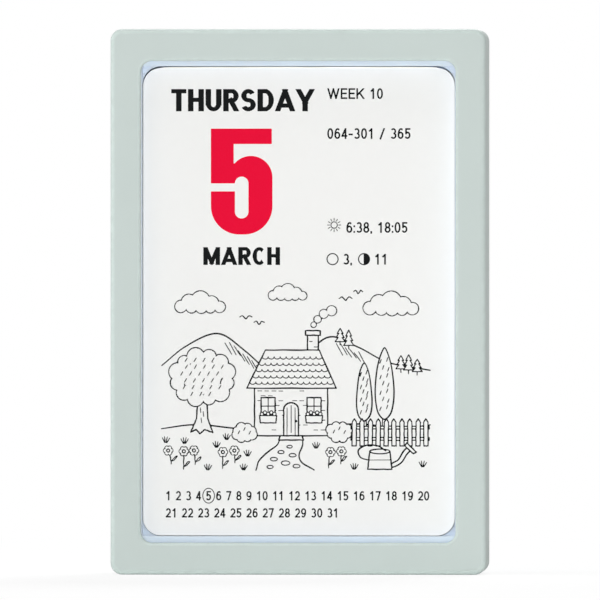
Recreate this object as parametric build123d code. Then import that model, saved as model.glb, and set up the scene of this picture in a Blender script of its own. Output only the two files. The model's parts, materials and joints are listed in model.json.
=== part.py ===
from build123d import *
import os

# Tear off day calendar: a block of glued leaves in a two piece moulded casing.
# Millimetres. X is to the right, Y to the back and Z up. The origin is under the middle of the casing,
# on the surface that it stands on, and the window faces -Y.

# One leaf
leaf_width = 80.0
leaf_height = 120.0
leaf_corner_radius = 4.5
leaf_thickness = 0.068

# The year and the date on the top leaf
month_days = {
    "january": 31,
    "february": 28,
    "march": 31,
    "april": 30,
    "may": 31,
    "june": 30,
    "july": 31,
    "august": 31,
    "september": 30,
    "october": 31,
    "november": 30,
    "december": 31,
}
month_today = "march"
day_today = 5

# What carries the leaves
card_thickness = 1.2
glue_thickness = 0.3
pad_thickness = 1.0
pad_length = 60.0
pad_width = 12.0
pad_spacing = 80.0

# Rear tray
side_gap = 0.15
head_gap = 0.45
foot_gap = 0.15
well_wall = 2.0
mouth_corner_radius = 0.8
mouth_depth = 3.3
floor_thickness = 2.0
new_block_recess = 0.98
nail_hole_radius = 1.75
nail_hole_web = 1.3
push_hole_radius = 9.0

# Front frame
face_thickness = 2.2
skirt_thickness = 2.0
side_cavity = 4.05
side_reveal = 0.38
head_reveal = 1.8
frame_corner_radius = 3.0
window_corner_radius = 2.8
face_edge_radius = 1.4
window_edge_radius = 0.9
rear_edge_radius = 0.5

# Push fit between the two mouldings
plate_clearance = 0.15
post_radius = 1.5
post_clearance = 0.05
post_grip = 8.0
post_chamfer = 0.4
post_inset = 10.2
socket_wall = 0.9
socket_room = 0.4
socket_standoff = 8.0

# Widths and heights, from the leaf outwards
well_width = leaf_width + 2 * side_gap
well_height = leaf_height + head_gap + foot_gap
well_rise = (head_gap - foot_gap) / 2
well_corner_radius = leaf_corner_radius + side_gap
window_width = leaf_width + 2 * side_reveal
window_height = leaf_height + 2 * head_reveal
wall_width = well_width + 2 * well_wall
wall_height = well_height + 2 * well_wall
socket_radius = post_radius + post_clearance + socket_wall
head_cavity = 2 * (socket_radius + socket_room)
inside_width = wall_width + 2 * side_cavity
inside_height = wall_height + 2 * head_cavity
frame_width = inside_width + 2 * skirt_thickness
frame_height = inside_height + 2 * skirt_thickness
plate_width = inside_width - 2 * plate_clearance
plate_height = inside_height - 2 * plate_clearance
inside_corner_radius = frame_corner_radius - skirt_thickness
plate_corner_radius = inside_corner_radius - plate_clearance

# Depths, from the wall side forwards
leaves_in_year = sum(month_days.values())
depth = floor_thickness + pad_thickness + card_thickness + leaves_in_year * leaf_thickness + new_block_recess
rear_y = depth / 2
face_y = -depth / 2
rim_back_y = face_y + face_thickness
floor_y = rear_y - floor_thickness
card_back_y = floor_y - pad_thickness
leaves_back_y = card_back_y - card_thickness

middle_z = frame_height / 2
post_x = frame_width / 2 - post_inset
post_rise = (wall_height + inside_height) / 4
socket_end_y = floor_y - socket_standoff


def slab(width, height, corner_radius, front_y, back_y, rise=0.0):
    """Plate with rounded corners, square to Y, at some rise above the middle of the window."""
    back_plane = Plane(origin=(0, back_y, middle_z + rise), x_dir=(1, 0, 0), z_dir=(0, -1, 0))
    outline = RectangleRounded(width, height, corner_radius)
    return extrude(back_plane * outline, amount=back_y - front_y)


def rod(radius, x, z, front_y, back_y):
    """Round bar along Y."""
    back_plane = Plane(origin=(x, back_y, z), x_dir=(1, 0, 0), z_dir=(0, -1, 0))
    return extrude(back_plane * Circle(radius), amount=back_y - front_y)


def post_places():
    """X and Z of the four posts, near the corners of the cavity above and below the well."""
    return [(x, middle_z + rise) for x in (-post_x, post_x) for rise in (-post_rise, post_rise)]


def is_window_edge(edge):
    """True for an edge that bounds the window and not the outside of the rim."""
    centre = edge.center()
    inside_x = abs(centre.X) <= window_width / 2
    inside_z = abs(centre.Z - middle_z) <= window_height / 2
    return inside_x and inside_z


def make_front_frame():
    """Rim with the window, and a skirt that hides the tray. Sockets stand behind the rim."""
    frame = slab(frame_width, frame_height, frame_corner_radius, face_y, rear_y)
    frame = fillet(frame.edges().group_by(Axis.Y)[0], face_edge_radius)
    frame = fillet(frame.edges().group_by(Axis.Y)[-1], rear_edge_radius)
    frame -= slab(window_width, window_height, window_corner_radius, face_y, rear_y)
    frame = fillet(frame.edges().group_by(Axis.Y)[0].filter_by(is_window_edge), window_edge_radius)
    frame -= slab(inside_width, inside_height, inside_corner_radius, rim_back_y, rear_y)
    for x, z in post_places():
        frame += rod(socket_radius, x, z, rim_back_y, socket_end_y)
        frame -= rod(post_radius + post_clearance, x, z, rim_back_y, socket_end_y)
    return frame


def make_post(x, z):
    """Friction post on the back plate, with a lead-in at its tip."""
    tip_y = socket_end_y - post_grip
    post = rod(post_radius, x, z, tip_y, floor_y)
    return chamfer(post.edges().group_by(Axis.Y)[0], post_chamfer)


def make_rear_tray():
    """Back plate with the four walls of the well and the posts.

    The corners of the well follow the corners of the block. At the mouth they are tight, so that a lifted
    leaf swings clear of them. A nail in the wall goes through the small hole. A finger in the round one
    pushes a used block out.
    """
    well = slab(well_width, well_height, well_corner_radius, rim_back_y, floor_y, well_rise)
    mouth_y = rim_back_y + mouth_depth
    mouth = slab(well_width, well_height, mouth_corner_radius, rim_back_y, mouth_y, well_rise)
    walls = slab(wall_width, wall_height, mouth_corner_radius + well_wall, rim_back_y, floor_y)
    walls -= well
    walls -= mouth
    tray = walls + slab(plate_width, plate_height, plate_corner_radius, floor_y, rear_y)
    for x, z in post_places():
        tray += make_post(x, z)
    tray -= rod(push_hole_radius, 0, middle_z, floor_y, rear_y)
    nail_z = middle_z + plate_height / 2 - nail_hole_web - nail_hole_radius
    return tray - rod(nail_hole_radius, 0, nail_z, floor_y, rear_y)


def make_mounting_pads():
    """Two strips of foam tape between the back plate and the card."""
    strip = Box(pad_length, pad_thickness, pad_width)
    pad_y = floor_y - pad_thickness / 2
    pad_rise = pad_spacing / 2
    return Part() + [Pos(0, pad_y, middle_z + rise) * strip for rise in (-pad_rise, pad_rise)]


def make_leaf_pack(front_y, back_y):
    """Leaves that lie on each other, as one sheet of their joint thickness."""
    return slab(leaf_width, leaf_height, leaf_corner_radius, front_y, back_y)


def make_head_glue(front_y):
    """Film of glue along the straight part of the block's head, card included."""
    film_width = leaf_width - 2 * leaf_corner_radius
    head_z = middle_z + leaf_height / 2
    corner = (-film_width / 2, front_y, head_z)
    film_depth = card_back_y - front_y
    return Pos(*corner) * Box(film_width, film_depth, glue_thickness, align=Align.MIN)


def leaf_packs():
    """Name and number of leaves of each pack behind tomorrow's leaf, last month first."""
    names = list(month_days)
    later_months = names[names.index(month_today) + 1:]
    packs = [(name + "_leaves", month_days[name]) for name in reversed(later_months)]
    single_leaves = 2
    left_this_month = month_days[month_today] - day_today + 1 - single_leaves
    return packs + [(month_today + "_leaves", left_this_month)]


def make_parts():
    """Every piece of the calendar by its name."""
    parts = {
        "front_frame": make_front_frame(),
        "rear_tray": make_rear_tray(),
        "mounting_pads": make_mounting_pads(),
        "back_card": make_leaf_pack(leaves_back_y, card_back_y),
    }
    back_y = leaves_back_y
    singles = [("tomorrows_leaf", 1), ("todays_leaf", 1)]
    for name, leaves in leaf_packs() + singles:
        front_y = back_y - leaves * leaf_thickness
        parts[name] = make_leaf_pack(front_y, back_y)
        last_back_y = back_y
        back_y = front_y
    parts["head_glue"] = make_head_glue(last_back_y)
    print("leaf hinge y", round(last_back_y, 4), "z", middle_z + leaf_height / 2)
    print("casing", frame_width, depth, frame_height, "window", window_width, window_height)
    return parts


os.makedirs("parts", exist_ok=True)
for node, solid in make_parts().items():
    export_step(solid, f"parts/{node}.step")
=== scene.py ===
"""Looks of a tear off day calendar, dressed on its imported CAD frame."""

import json
import math
from typing import NamedTuple

import bpy
import numpy as np
from bpy.props import FloatProperty, FloatVectorProperty, IntProperty, PointerProperty, StringProperty
from bpy.types import Operator, Panel, PropertyGroup
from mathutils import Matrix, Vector


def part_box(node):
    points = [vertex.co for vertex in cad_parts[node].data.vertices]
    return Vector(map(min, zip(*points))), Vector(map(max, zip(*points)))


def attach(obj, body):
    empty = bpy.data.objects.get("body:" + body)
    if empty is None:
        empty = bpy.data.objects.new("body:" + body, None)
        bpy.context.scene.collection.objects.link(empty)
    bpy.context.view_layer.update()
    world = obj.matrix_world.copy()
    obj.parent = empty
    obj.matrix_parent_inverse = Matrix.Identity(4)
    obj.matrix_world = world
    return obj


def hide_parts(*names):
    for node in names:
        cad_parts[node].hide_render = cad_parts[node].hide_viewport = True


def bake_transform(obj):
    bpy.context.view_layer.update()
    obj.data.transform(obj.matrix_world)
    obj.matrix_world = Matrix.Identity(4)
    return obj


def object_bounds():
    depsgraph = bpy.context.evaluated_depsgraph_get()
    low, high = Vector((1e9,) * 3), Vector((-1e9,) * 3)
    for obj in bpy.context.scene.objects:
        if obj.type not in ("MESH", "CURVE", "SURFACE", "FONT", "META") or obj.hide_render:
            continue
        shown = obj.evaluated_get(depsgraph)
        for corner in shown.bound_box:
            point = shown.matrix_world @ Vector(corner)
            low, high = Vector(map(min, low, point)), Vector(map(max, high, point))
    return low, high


bl_info = {
    "name": "Tear off day calendar",
    "version": (1, 0, 0),
    "blender": (4, 5, 0),
    "location": "View3D > Sidebar > Calendar",
    "description": "Dresses the packed day calendar: its casing, its glued block of leaves and their print",
    "category": "Object",
}

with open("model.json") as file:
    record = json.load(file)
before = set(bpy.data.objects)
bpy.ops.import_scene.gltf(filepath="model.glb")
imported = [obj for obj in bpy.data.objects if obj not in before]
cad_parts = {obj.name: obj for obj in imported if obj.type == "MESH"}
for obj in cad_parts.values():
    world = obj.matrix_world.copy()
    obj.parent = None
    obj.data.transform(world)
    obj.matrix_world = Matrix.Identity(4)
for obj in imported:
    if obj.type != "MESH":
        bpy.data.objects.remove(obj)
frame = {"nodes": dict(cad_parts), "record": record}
CAD_BOX = [list(corner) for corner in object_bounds()]

MM = 0.001
# A pack of leaves for each month, last month first
PACKS = [row["node"] for row in frame["record"]["subparts"] if row["node"].endswith("_leaves")]

# Sizes of the CAD that its boxes don't give, in millimetres
POST_ACROSS, POST_RISE = 38.0, 65.15
SOCKET_BORE, SOCKET_OUTSIDE, SOCKET_END = 1.55, 2.45, 5.0
PAD_WIDTH = 12.0

# An edge that turns by more than this many degrees is shaded sharp.
SHARP_ANGLE = 35.0


def mm_box(node):
    """Lowest and highest corner of a CAD node in millimetres."""
    low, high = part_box(node)
    return np.array(low) / MM, np.array(high) / MM


def half_sizes(low, high):
    """Half the width and half the height of a box."""
    return (high[0] - low[0]) / 2, (high[2] - low[2]) / 2


def front_middle(low, high):
    """Middle of a box as its front shows it, across and up."""
    return (low[0] + high[0]) / 2, (low[2] + high[2]) / 2


def linear(code):
    """sRGB hex code as linear red, green and blue."""
    parts = np.array([int(code[i:i + 2], 16) for i in (0, 2, 4)]) / 255.0
    low = parts / 12.92
    high = ((parts + 0.055) / 1.055) ** 2.4
    return tuple(float(v) for v in np.where(parts <= 0.04045, low, high))


# Settings


def colour_prop(name, description, code):
    """Colour that a user may change, with its default as an sRGB hex code."""
    return FloatVectorProperty(
        name=name, description=description, default=linear(code), subtype="COLOR", min=0.0, max=1.0
    )


def length_prop(name, description, millimetres):
    """Length that a user may change, with its default in millimetres."""
    return FloatProperty(
        name=name, description=description, default=millimetres * MM, unit="LENGTH", precision=5
    )


def angle_prop(name, description, degrees):
    """Angle that a user may change, with its default in degrees."""
    return FloatProperty(name=name, description=description, default=math.radians(degrees), unit="ROTATION")


def power_prop(name, description, watts):
    """Power of a lamp that a user may change."""
    return FloatProperty(name=name, description=description, default=watts, unit="POWER")


def text_prop(name, description, text):
    """Printed line that a user may change."""
    return StringProperty(name=name, description=description, default=text)


class CalendarCasing(PropertyGroup):
    """The two plastic mouldings."""

    face_thickness: length_prop("Rim thickness", "Depth of the rim round the window", 2.2)
    skirt_thickness: length_prop("Skirt thickness", "Wall of the side skirt", 2.0)
    corner_radius: length_prop("Corner radius", "Outer corner of the frame", 3.0)
    window_radius: length_prop("Window radius", "Corner of the window", 2.8)
    side_reveal: length_prop("Side reveal", "From the leaf's side to the window's edge", 0.38)
    head_reveal: length_prop("Head reveal", "From the leaf's head to the window's edge", 1.8)
    face_edge: length_prop("Face edge", "Rounding of the outer front edge", 1.4)
    window_edge: length_prop("Window edge", "Rounding of the window's edge", 0.9)
    rear_edge: length_prop("Rear edge", "Rounding of the rear edge", 0.5)
    tray_edge: length_prop("Tray edge", "Rounding of the tray's edges", 0.2)
    frame_colour: colour_prop("Frame colour", "Pale grey green polystyrene", "C3CFCB")
    tray_colour: colour_prop("Tray colour", "Pale blue white polystyrene", "D4E3F5")


class CalendarPaper(PropertyGroup):
    """The glued block and its leaves."""

    leaf_thickness: length_prop("Leaf thickness", "One leaf of offset paper", 0.068)
    corner_radius: length_prop("Leaf corner", "Rounded corner of a leaf", 4.5)
    edge_scatter: length_prop("Edge scatter", "How far the cut edges differ from leaf to leaf", 0.14)
    foot_lift: length_prop("Foot lift", "How far the top leaf's foot stands off the block", 0.5)
    head_bend: length_prop("Head bend", "How much of the top leaf bends at its glued head", 4.0)
    seed: IntProperty(name="Seed", description="Chooses the small differences between leaves", default=12)
    paper_colour: colour_prop("Paper", "Uncoated white offset paper", "FBFBF9")
    card_colour: colour_prop("Card", "Grey board made of waste paper", "9C968C")
    glue_colour: colour_prop("Glue", "Dried padding glue", "E9E6DA")
    foam_colour: colour_prop("Foam", "White foam tape", "E8E8E2")


class CalendarPrint(PropertyGroup):
    """What is printed on the leaves."""

    weekday: text_prop("Weekday", "Top line of today's leaf", "THURSDAY")
    day: text_prop("Day", "Large numeral of today's leaf", "5")
    month: text_prop("Month", "Line under the numeral", "MARCH")
    next_weekday: text_prop("Next weekday", "Top line of the next leaf", "FRIDAY")
    next_day: text_prop("Next day", "Large numeral of the next leaf", "6")
    ink_film: length_prop("Ink film", "Height of the ink, thick enough to lie clear of the paper", 0.018)
    pen_width: length_prop("Pen width", "Line of the drawing", 0.37)
    black: colour_prop("Black", "Offset black", "0A0D0E")
    red: colour_prop("Red", "Offset red of the numeral", "F10037")


class CalendarStage(PropertyGroup):
    """Camera, lamps and floor."""

    camera_distance: length_prop("Camera distance", "From the lens to the rim", 4500.0)
    picture_width: length_prop("Picture width", "What the picture takes in at the rim", 153.85)
    camera_turn: angle_prop("Camera turn", "How far to the right the camera stands", 2.3)
    camera_rise: angle_prop("Camera rise", "How far above the level the camera stands", 0.3)
    aim_across: length_prop("Aim across", "What the lens aims at, right of the rim's middle", 0.5)
    aim_up: length_prop("Aim up", "What the lens aims at, above the rim's middle", 0.48)
    key_watts: power_prop("Key", "Large lamp at the upper left", 6.2)
    side_watts: power_prop("Side", "Lamp at the far left", 6.0)
    top_watts: power_prop("Top", "Large lamp overhead", 7.0)
    back_watts: power_prop("Back", "Large lamp behind on the right", 40.0)
    camera_watts: power_prop("Camera lamp", "Round lamp in line with the lens", 50.5)
    ambient: FloatProperty(name="Ambient", description="Light from all round", default=0.06)
    floor_reach: length_prop("Floor reach", "From the middle of the floor to its sides", 3000.0)
    floor_colour: colour_prop("Floor", "White studio paper", "F4F4F4")


# Mesh arrays


def rounded_outline(half_width, half_height, radius, steps=10):
    """Rounded rectangle, anticlockwise from the front.

    Each corner is a quarter circle about a centre that lies one radius inside both sides; the straight
    runs are what is left between the quarters.
    """
    turns = np.arange(4)[:, None] * (math.pi / 2) + np.linspace(0, math.pi / 2, steps + 1)
    right = np.array([1, -1, -1, 1])[:, None]
    up = np.array([1, 1, -1, -1])[:, None]
    across = right * (half_width - radius) + radius * np.cos(turns)
    rise = up * (half_height - radius) + radius * np.sin(turns)
    return np.stack([across.ravel(), rise.ravel()], axis=1)


def ring(outline, depth, middle):
    """Outline placed at one depth: across and rise become X and Z, and depth becomes Y."""
    across, rise = outline[:, 0] + middle[0], outline[:, 1] + middle[1]
    return np.stack([across, np.full(len(outline), float(depth)), rise], axis=1)


def lofted(rings, closed=False):
    """Surface through rings of equal count: neighbours on a ring and on the next one make a quad.

    An open row of rings gets its first and last ring as end faces; a closed row joins the last ring to
    the first.
    """
    rings = np.asarray(rings, dtype=float)
    rows, count = rings.shape[:2]
    row = np.arange(rows if closed else rows - 1)[:, None]
    point = np.arange(count)[None, :]
    follow, beyond = (point + 1) % count, (row + 1) % rows
    corners = [row * count + point, row * count + follow, beyond * count + follow, beyond * count + point]
    faces = [np.stack(corners, axis=-1).reshape(-1, 4)]
    if not closed:
        last = (rows - 1) * count + np.arange(count)
        faces += [np.arange(count)[::-1][None, :], last[None, :]]
    return facing_out(rings.reshape(-1, 3), faces)


def facing_out(points, faces):
    """Turns a closed shell so that its volume, summed over fans of triangles, is positive."""
    volume = 0.0
    for group in faces:
        first = points[group[:, 0]]
        for k in range(1, group.shape[1] - 1):
            second, third = points[group[:, k]], points[group[:, k + 1]]
            volume += np.einsum("ij,ij->i", first, np.cross(second, third)).sum()
    if volume < 0:
        faces = [group[:, ::-1] for group in faces]
    return points, faces


def joined(shells):
    """Several shells as one set of points and faces."""
    points, faces, start = [], [], 0
    for shell_points, shell_faces in shells:
        points.append(shell_points)
        faces += [group + start for group in shell_faces]
        start += len(shell_points)
    return np.concatenate(points), faces


def put(name, shell, material, body, node=None, smooth=True, attributes=None):
    """Makes a piece from a shell in millimetres, and lets it ride on a body."""
    points, faces = shell
    sizes = np.concatenate([np.full(len(group), group.shape[1]) for group in faces])
    corners = np.concatenate([group.ravel() for group in faces]).astype(np.int32)
    starts = np.concatenate([[0], np.cumsum(sizes)[:-1]]).astype(np.int32)
    mesh = bpy.data.meshes.new(name)
    mesh.vertices.add(len(points))
    mesh.vertices.foreach_set("co", (np.asarray(points) * MM).astype(np.float32).ravel())
    mesh.loops.add(len(corners))
    mesh.loops.foreach_set("vertex_index", corners)
    mesh.polygons.add(len(sizes))
    mesh.polygons.foreach_set("loop_start", starts)
    mesh.update(calc_edges=True)
    if mesh.validate():
        raise RuntimeError(name + " has a face or edge that isn't valid")
    mesh.polygons.foreach_set("use_smooth", np.full(len(sizes), smooth))
    if smooth:
        mesh.set_sharp_from_angle(angle=math.radians(SHARP_ANGLE))
    for key, values in (attributes or {}).items():
        layer = mesh.attributes.new(key, "FLOAT", "POINT")
        layer.data.foreach_set("value", np.asarray(values, dtype=np.float32).ravel())
    mesh.materials.append(material)
    piece = bpy.data.objects.new(name, mesh)
    bpy.context.scene.collection.objects.link(piece)
    if body:
        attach(piece, body)
    if node:
        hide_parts(node)
    return piece


# Materials


def add(tree, kind, settings=None, links=None):
    """Adds a node with its settings.

    Each input that links names takes a node's first output, a socket or a plain value.
    """
    made = tree.nodes.new(kind)
    for key, value in (settings or {}).items():
        setattr(made, key, value)
    for key, value in (links or {}).items():
        if isinstance(value, bpy.types.Node):
            value = value.outputs[0]
        if isinstance(value, bpy.types.NodeSocket):
            tree.links.new(value, made.inputs[key])
        else:
            made.inputs[key].default_value = value
    return made


def material_base(name):
    """New material with an empty node tree, and its Object coordinates."""
    made = bpy.data.materials.get(name)
    if made:
        bpy.data.materials.remove(made)
    made = bpy.data.materials.new(name)
    made.use_nodes = True
    made.node_tree.nodes.clear()
    place = add(made.node_tree, "ShaderNodeTexCoord").outputs["Object"]
    return made, made.node_tree, place


def per_mm(size):
    """Texture scale, per metre, at which one feature is about that many millimetres."""
    return 1.0 / (size * MM)


def shade(colour, factor):
    """Colour made lighter or darker, as a socket value."""
    return tuple(min(1.0, c * factor) for c in colour[:3]) + (1.0,)


def moulded_polystyrene(name, colour, glow):
    """Injection moulded polystyrene with a fine spark eroded grain.

    The eye sees a satin, slightly waxy pale plastic: a soft highlight on each rounded edge, faint clouds
    of flow in the colour, and a painted highlight that lightens the colour of the rounded edges in patches,
    where the edges are also a little smoother. The piece's own attribute says how much painted highlight
    each edge gets.
    """
    made, tree, place = material_base(name)
    flow = add(tree, "ShaderNodeTexNoise", links={
        "Vector": place, "Scale": per_mm(24.0), "Detail": 3.0, "Roughness": 0.55, "Distortion": 0.6,
    })
    clouds = add(tree, "ShaderNodeMixRGB", links={
        "Fac": flow, "Color1": shade(colour, 0.972), "Color2": shade(colour, 1.028),
    })
    # The grain is about 0.1 mm in the tool; it is drawn at 0.35 mm so that it shows.
    grain = add(tree, "ShaderNodeTexNoise", links={
        "Vector": place, "Scale": per_mm(0.35), "Detail": 2.0, "Roughness": 0.6,
    })
    ripple = add(tree, "ShaderNodeTexNoise", links={"Vector": place, "Scale": per_mm(7.0), "Detail": 1.0})
    edge_highlight = add(tree, "ShaderNodeAttribute", {"attribute_name": "edge_highlight"})
    patch_noise = add(tree, "ShaderNodeTexNoise", links={
        "Vector": place, "Scale": per_mm(3.0), "Detail": 4.0, "Roughness": 0.7,
    })
    highlight_patches = add(tree, "ShaderNodeMapRange", links={
        "Value": patch_noise, "From Min": 0.36, "From Max": 0.62, "To Min": 0.6, "To Max": 1.0,
    })
    highlight_and_wear = add(tree, "ShaderNodeMath", {"operation": "MULTIPLY"}, {0: edge_highlight.outputs["Fac"], 1: highlight_patches})
    # Painted highlight: where the attribute says, the colour is lightened to 1.24 times, in patches.
    tint = add(tree, "ShaderNodeMixRGB", links={
        "Fac": highlight_and_wear, "Color1": clouds, "Color2": shade(colour, 1.24),
    })
    speck = add(tree, "ShaderNodeMapRange", links={
        "Value": grain, "From Min": 0.3, "From Max": 0.7, "To Min": 0.48, "To Max": 0.6,
    })
    smooth = add(tree, "ShaderNodeMath", {"operation": "MULTIPLY_ADD"}, {0: highlight_and_wear, 1: -0.12, 2: speck})
    fine = add(tree, "ShaderNodeBump", links={"Strength": 0.35, "Distance": 0.012 * MM, "Height": grain})
    wavy = add(tree, "ShaderNodeBump", links={
        "Strength": 0.2, "Distance": 0.05 * MM, "Height": ripple, "Normal": fine,
    })
    shader = add(tree, "ShaderNodeBsdfPrincipled", links={
        "Base Color": tint, "Roughness": smooth, "Normal": wavy, "IOR": 1.59, "Specular IOR Level": 0.4,
        "Subsurface Weight": glow, "Subsurface Radius": (0.8, 0.9, 1.0), "Subsurface Scale": 2.5 * MM,
    })
    add(tree, "ShaderNodeOutputMaterial", links={"Surface": shader})
    return made


def offset_paper(name, colour, painted_leaf_shade):
    """Uncoated white offset paper, rolled and cut.

    The eye sees a matt white sheet with a faint cloudy formation and the short tooth of its fibres. Where
    a pack shows its cut edges, thin grey lines of painted shade run between the leaves.
    """
    made, tree, place = material_base(name)
    cloud = add(tree, "ShaderNodeTexNoise", links={
        "Vector": place, "Scale": per_mm(3.2), "Detail": 4.0, "Roughness": 0.6,
    })
    tone = add(tree, "ShaderNodeMixRGB", links={
        "Fac": cloud, "Color1": shade(colour, 0.978), "Color2": shade(colour, 1.012),
    })
    if painted_leaf_shade:
        # A leaf is 0.068 mm thick; the bands of painted shade along Y are drawn at 0.14 mm, so that pairs of
        # leaves show.
        stretched = add(tree, "ShaderNodeMapping", links={
            "Vector": place, "Scale": (per_mm(30.0), per_mm(0.14), per_mm(30.0)),
        })
        line = add(tree, "ShaderNodeTexNoise", links={
            "Vector": stretched, "Scale": 1.0, "Detail": 2.0, "Roughness": 0.7,
        })
        shade_between_leaves = add(tree, "ShaderNodeMapRange", links={
            "Value": line, "From Min": 0.35, "From Max": 0.62, "To Min": 0.0, "To Max": 1.0,
        })
        # Painted shade: the colour falls to 0.74 in the lines between leaves.
        tone = add(tree, "ShaderNodeMixRGB", links={
            "Fac": shade_between_leaves, "Color1": shade(colour, 0.74), "Color2": tone,
        })
    # Fibres are 0.02 mm wide; their felt is drawn at 0.22 mm so that it shows.
    tooth = add(tree, "ShaderNodeTexNoise", links={
        "Vector": place, "Scale": per_mm(0.22), "Detail": 3.0, "Roughness": 0.65,
    })
    felt = add(tree, "ShaderNodeBump", links={"Strength": 0.3, "Distance": 0.012 * MM, "Height": tooth})
    matt = add(tree, "ShaderNodeMapRange", links={
        "Value": tooth, "From Min": 0.3, "From Max": 0.7, "To Min": 0.82, "To Max": 0.95,
    })
    shader = add(tree, "ShaderNodeBsdfPrincipled", links={
        "Base Color": tone, "Roughness": matt, "Normal": felt, "IOR": 1.5, "Specular IOR Level": 0.25,
    })
    add(tree, "ShaderNodeOutputMaterial", links={"Surface": shader})
    return made


def offset_ink(name, colour):
    """Offset ink, printed and dried into the paper.

    The eye sees a solid, nearly matt colour that is a touch paler where the paper's tooth took less ink.
    """
    made, tree, place = material_base(name)
    bare_paper = (0.9, 0.9, 0.88, 1.0)
    take = add(tree, "ShaderNodeTexNoise", links={
        "Vector": place, "Scale": per_mm(0.3), "Detail": 3.0, "Roughness": 0.65,
    })
    missed = add(tree, "ShaderNodeMapRange", links={
        "Value": take, "From Min": 0.35, "From Max": 0.75, "To Min": 0.0, "To Max": 0.007,
    })
    film = add(tree, "ShaderNodeMixRGB", links={
        "Fac": missed, "Color1": shade(colour, 1.0), "Color2": bare_paper,
    })
    gloss = add(tree, "ShaderNodeMapRange", links={
        "Value": take, "From Min": 0.3, "From Max": 0.7, "To Min": 0.5, "To Max": 0.68,
    })
    shader = add(tree, "ShaderNodeBsdfPrincipled", links={
        "Base Color": film, "Roughness": gloss, "IOR": 1.48, "Specular IOR Level": 0.05,
    })
    add(tree, "ShaderNodeOutputMaterial", links={"Surface": shader})
    return made


def pressed_grey_board(name, colour):
    """Grey board pressed from waste paper.

    The eye sees a dull warm grey with darker and lighter flecks of old print and a coarse fibrous skin.
    """
    made, tree, place = material_base(name)
    pulp = add(tree, "ShaderNodeTexNoise", links={
        "Vector": place, "Scale": per_mm(1.6), "Detail": 6.0, "Roughness": 0.7,
    })
    grey = add(tree, "ShaderNodeMixRGB", links={
        "Fac": pulp, "Color1": shade(colour, 0.78), "Color2": shade(colour, 1.2),
    })
    flecks = add(tree, "ShaderNodeTexVoronoi", {"feature": "F1"}, {"Vector": place, "Scale": per_mm(1.1)})
    spots = add(tree, "ShaderNodeMapRange", links={
        "Value": flecks, "From Min": 0.1, "From Max": 0.22, "To Min": 0.55, "To Max": 0.0,
    })
    flecked = add(tree, "ShaderNodeMixRGB", links={
        "Fac": spots, "Color1": grey, "Color2": shade(colour, 0.45),
    })
    skin = add(tree, "ShaderNodeBump", links={"Strength": 0.6, "Distance": 0.04 * MM, "Height": pulp})
    shader = add(tree, "ShaderNodeBsdfPrincipled", links={
        "Base Color": flecked, "Roughness": 0.92, "Normal": skin, "Specular IOR Level": 0.2,
    })
    add(tree, "ShaderNodeOutputMaterial", links={"Surface": shader})
    return made


def dried_padding_glue(name, colour):
    """Padding glue brushed over the head of the block and dried.

    The eye sees a thin milky skin, glossier than the paper, streaked along the brush.
    """
    made, tree, place = material_base(name)
    along = add(tree, "ShaderNodeMapping", links={
        "Vector": place, "Scale": (per_mm(14.0), per_mm(0.6), per_mm(4.0)),
    })
    streak = add(tree, "ShaderNodeTexNoise", links={
        "Vector": along, "Scale": 1.0, "Detail": 4.0, "Roughness": 0.6,
    })
    milk = add(tree, "ShaderNodeMixRGB", links={
        "Fac": streak, "Color1": shade(colour, 0.9), "Color2": shade(colour, 1.06),
    })
    wet = add(tree, "ShaderNodeMapRange", links={
        "Value": streak, "From Min": 0.3, "From Max": 0.7, "To Min": 0.22, "To Max": 0.45,
    })
    brush = add(tree, "ShaderNodeBump", links={"Strength": 0.5, "Distance": 0.06 * MM, "Height": streak})
    shader = add(tree, "ShaderNodeBsdfPrincipled", links={
        "Base Color": milk, "Roughness": wet, "Normal": brush, "IOR": 1.47,
    })
    add(tree, "ShaderNodeOutputMaterial", links={"Surface": shader})
    return made


def closed_cell_foam(name, colour):
    """Closed cell polyethylene foam tape, slit to width.

    The eye sees a matt white strip whose cut sides show small round cells, their hollows darkened by
    painted shade.
    """
    made, tree, place = material_base(name)
    cells = add(tree, "ShaderNodeTexVoronoi", {"feature": "SMOOTH_F1"}, {
        "Vector": place, "Scale": per_mm(0.45),
    })
    pits = add(tree, "ShaderNodeMapRange", links={
        "Value": cells, "From Min": 0.05, "From Max": 0.5, "To Min": 0.0, "To Max": 1.0,
    })
    # Painted shade: the colour falls to 0.8 towards the middle of each cell's hollow.
    pit_shaded_tone = add(tree, "ShaderNodeMixRGB", links={
        "Fac": pits, "Color1": shade(colour, 0.8), "Color2": shade(colour, 1.02),
    })
    pitted = add(tree, "ShaderNodeBump", links={"Strength": 0.7, "Distance": 0.08 * MM, "Height": pits})
    shader = add(tree, "ShaderNodeBsdfPrincipled", links={
        "Base Color": pit_shaded_tone, "Roughness": 0.85, "Normal": pitted, "Specular IOR Level": 0.3,
    })
    add(tree, "ShaderNodeOutputMaterial", links={"Surface": shader})
    return made


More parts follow.
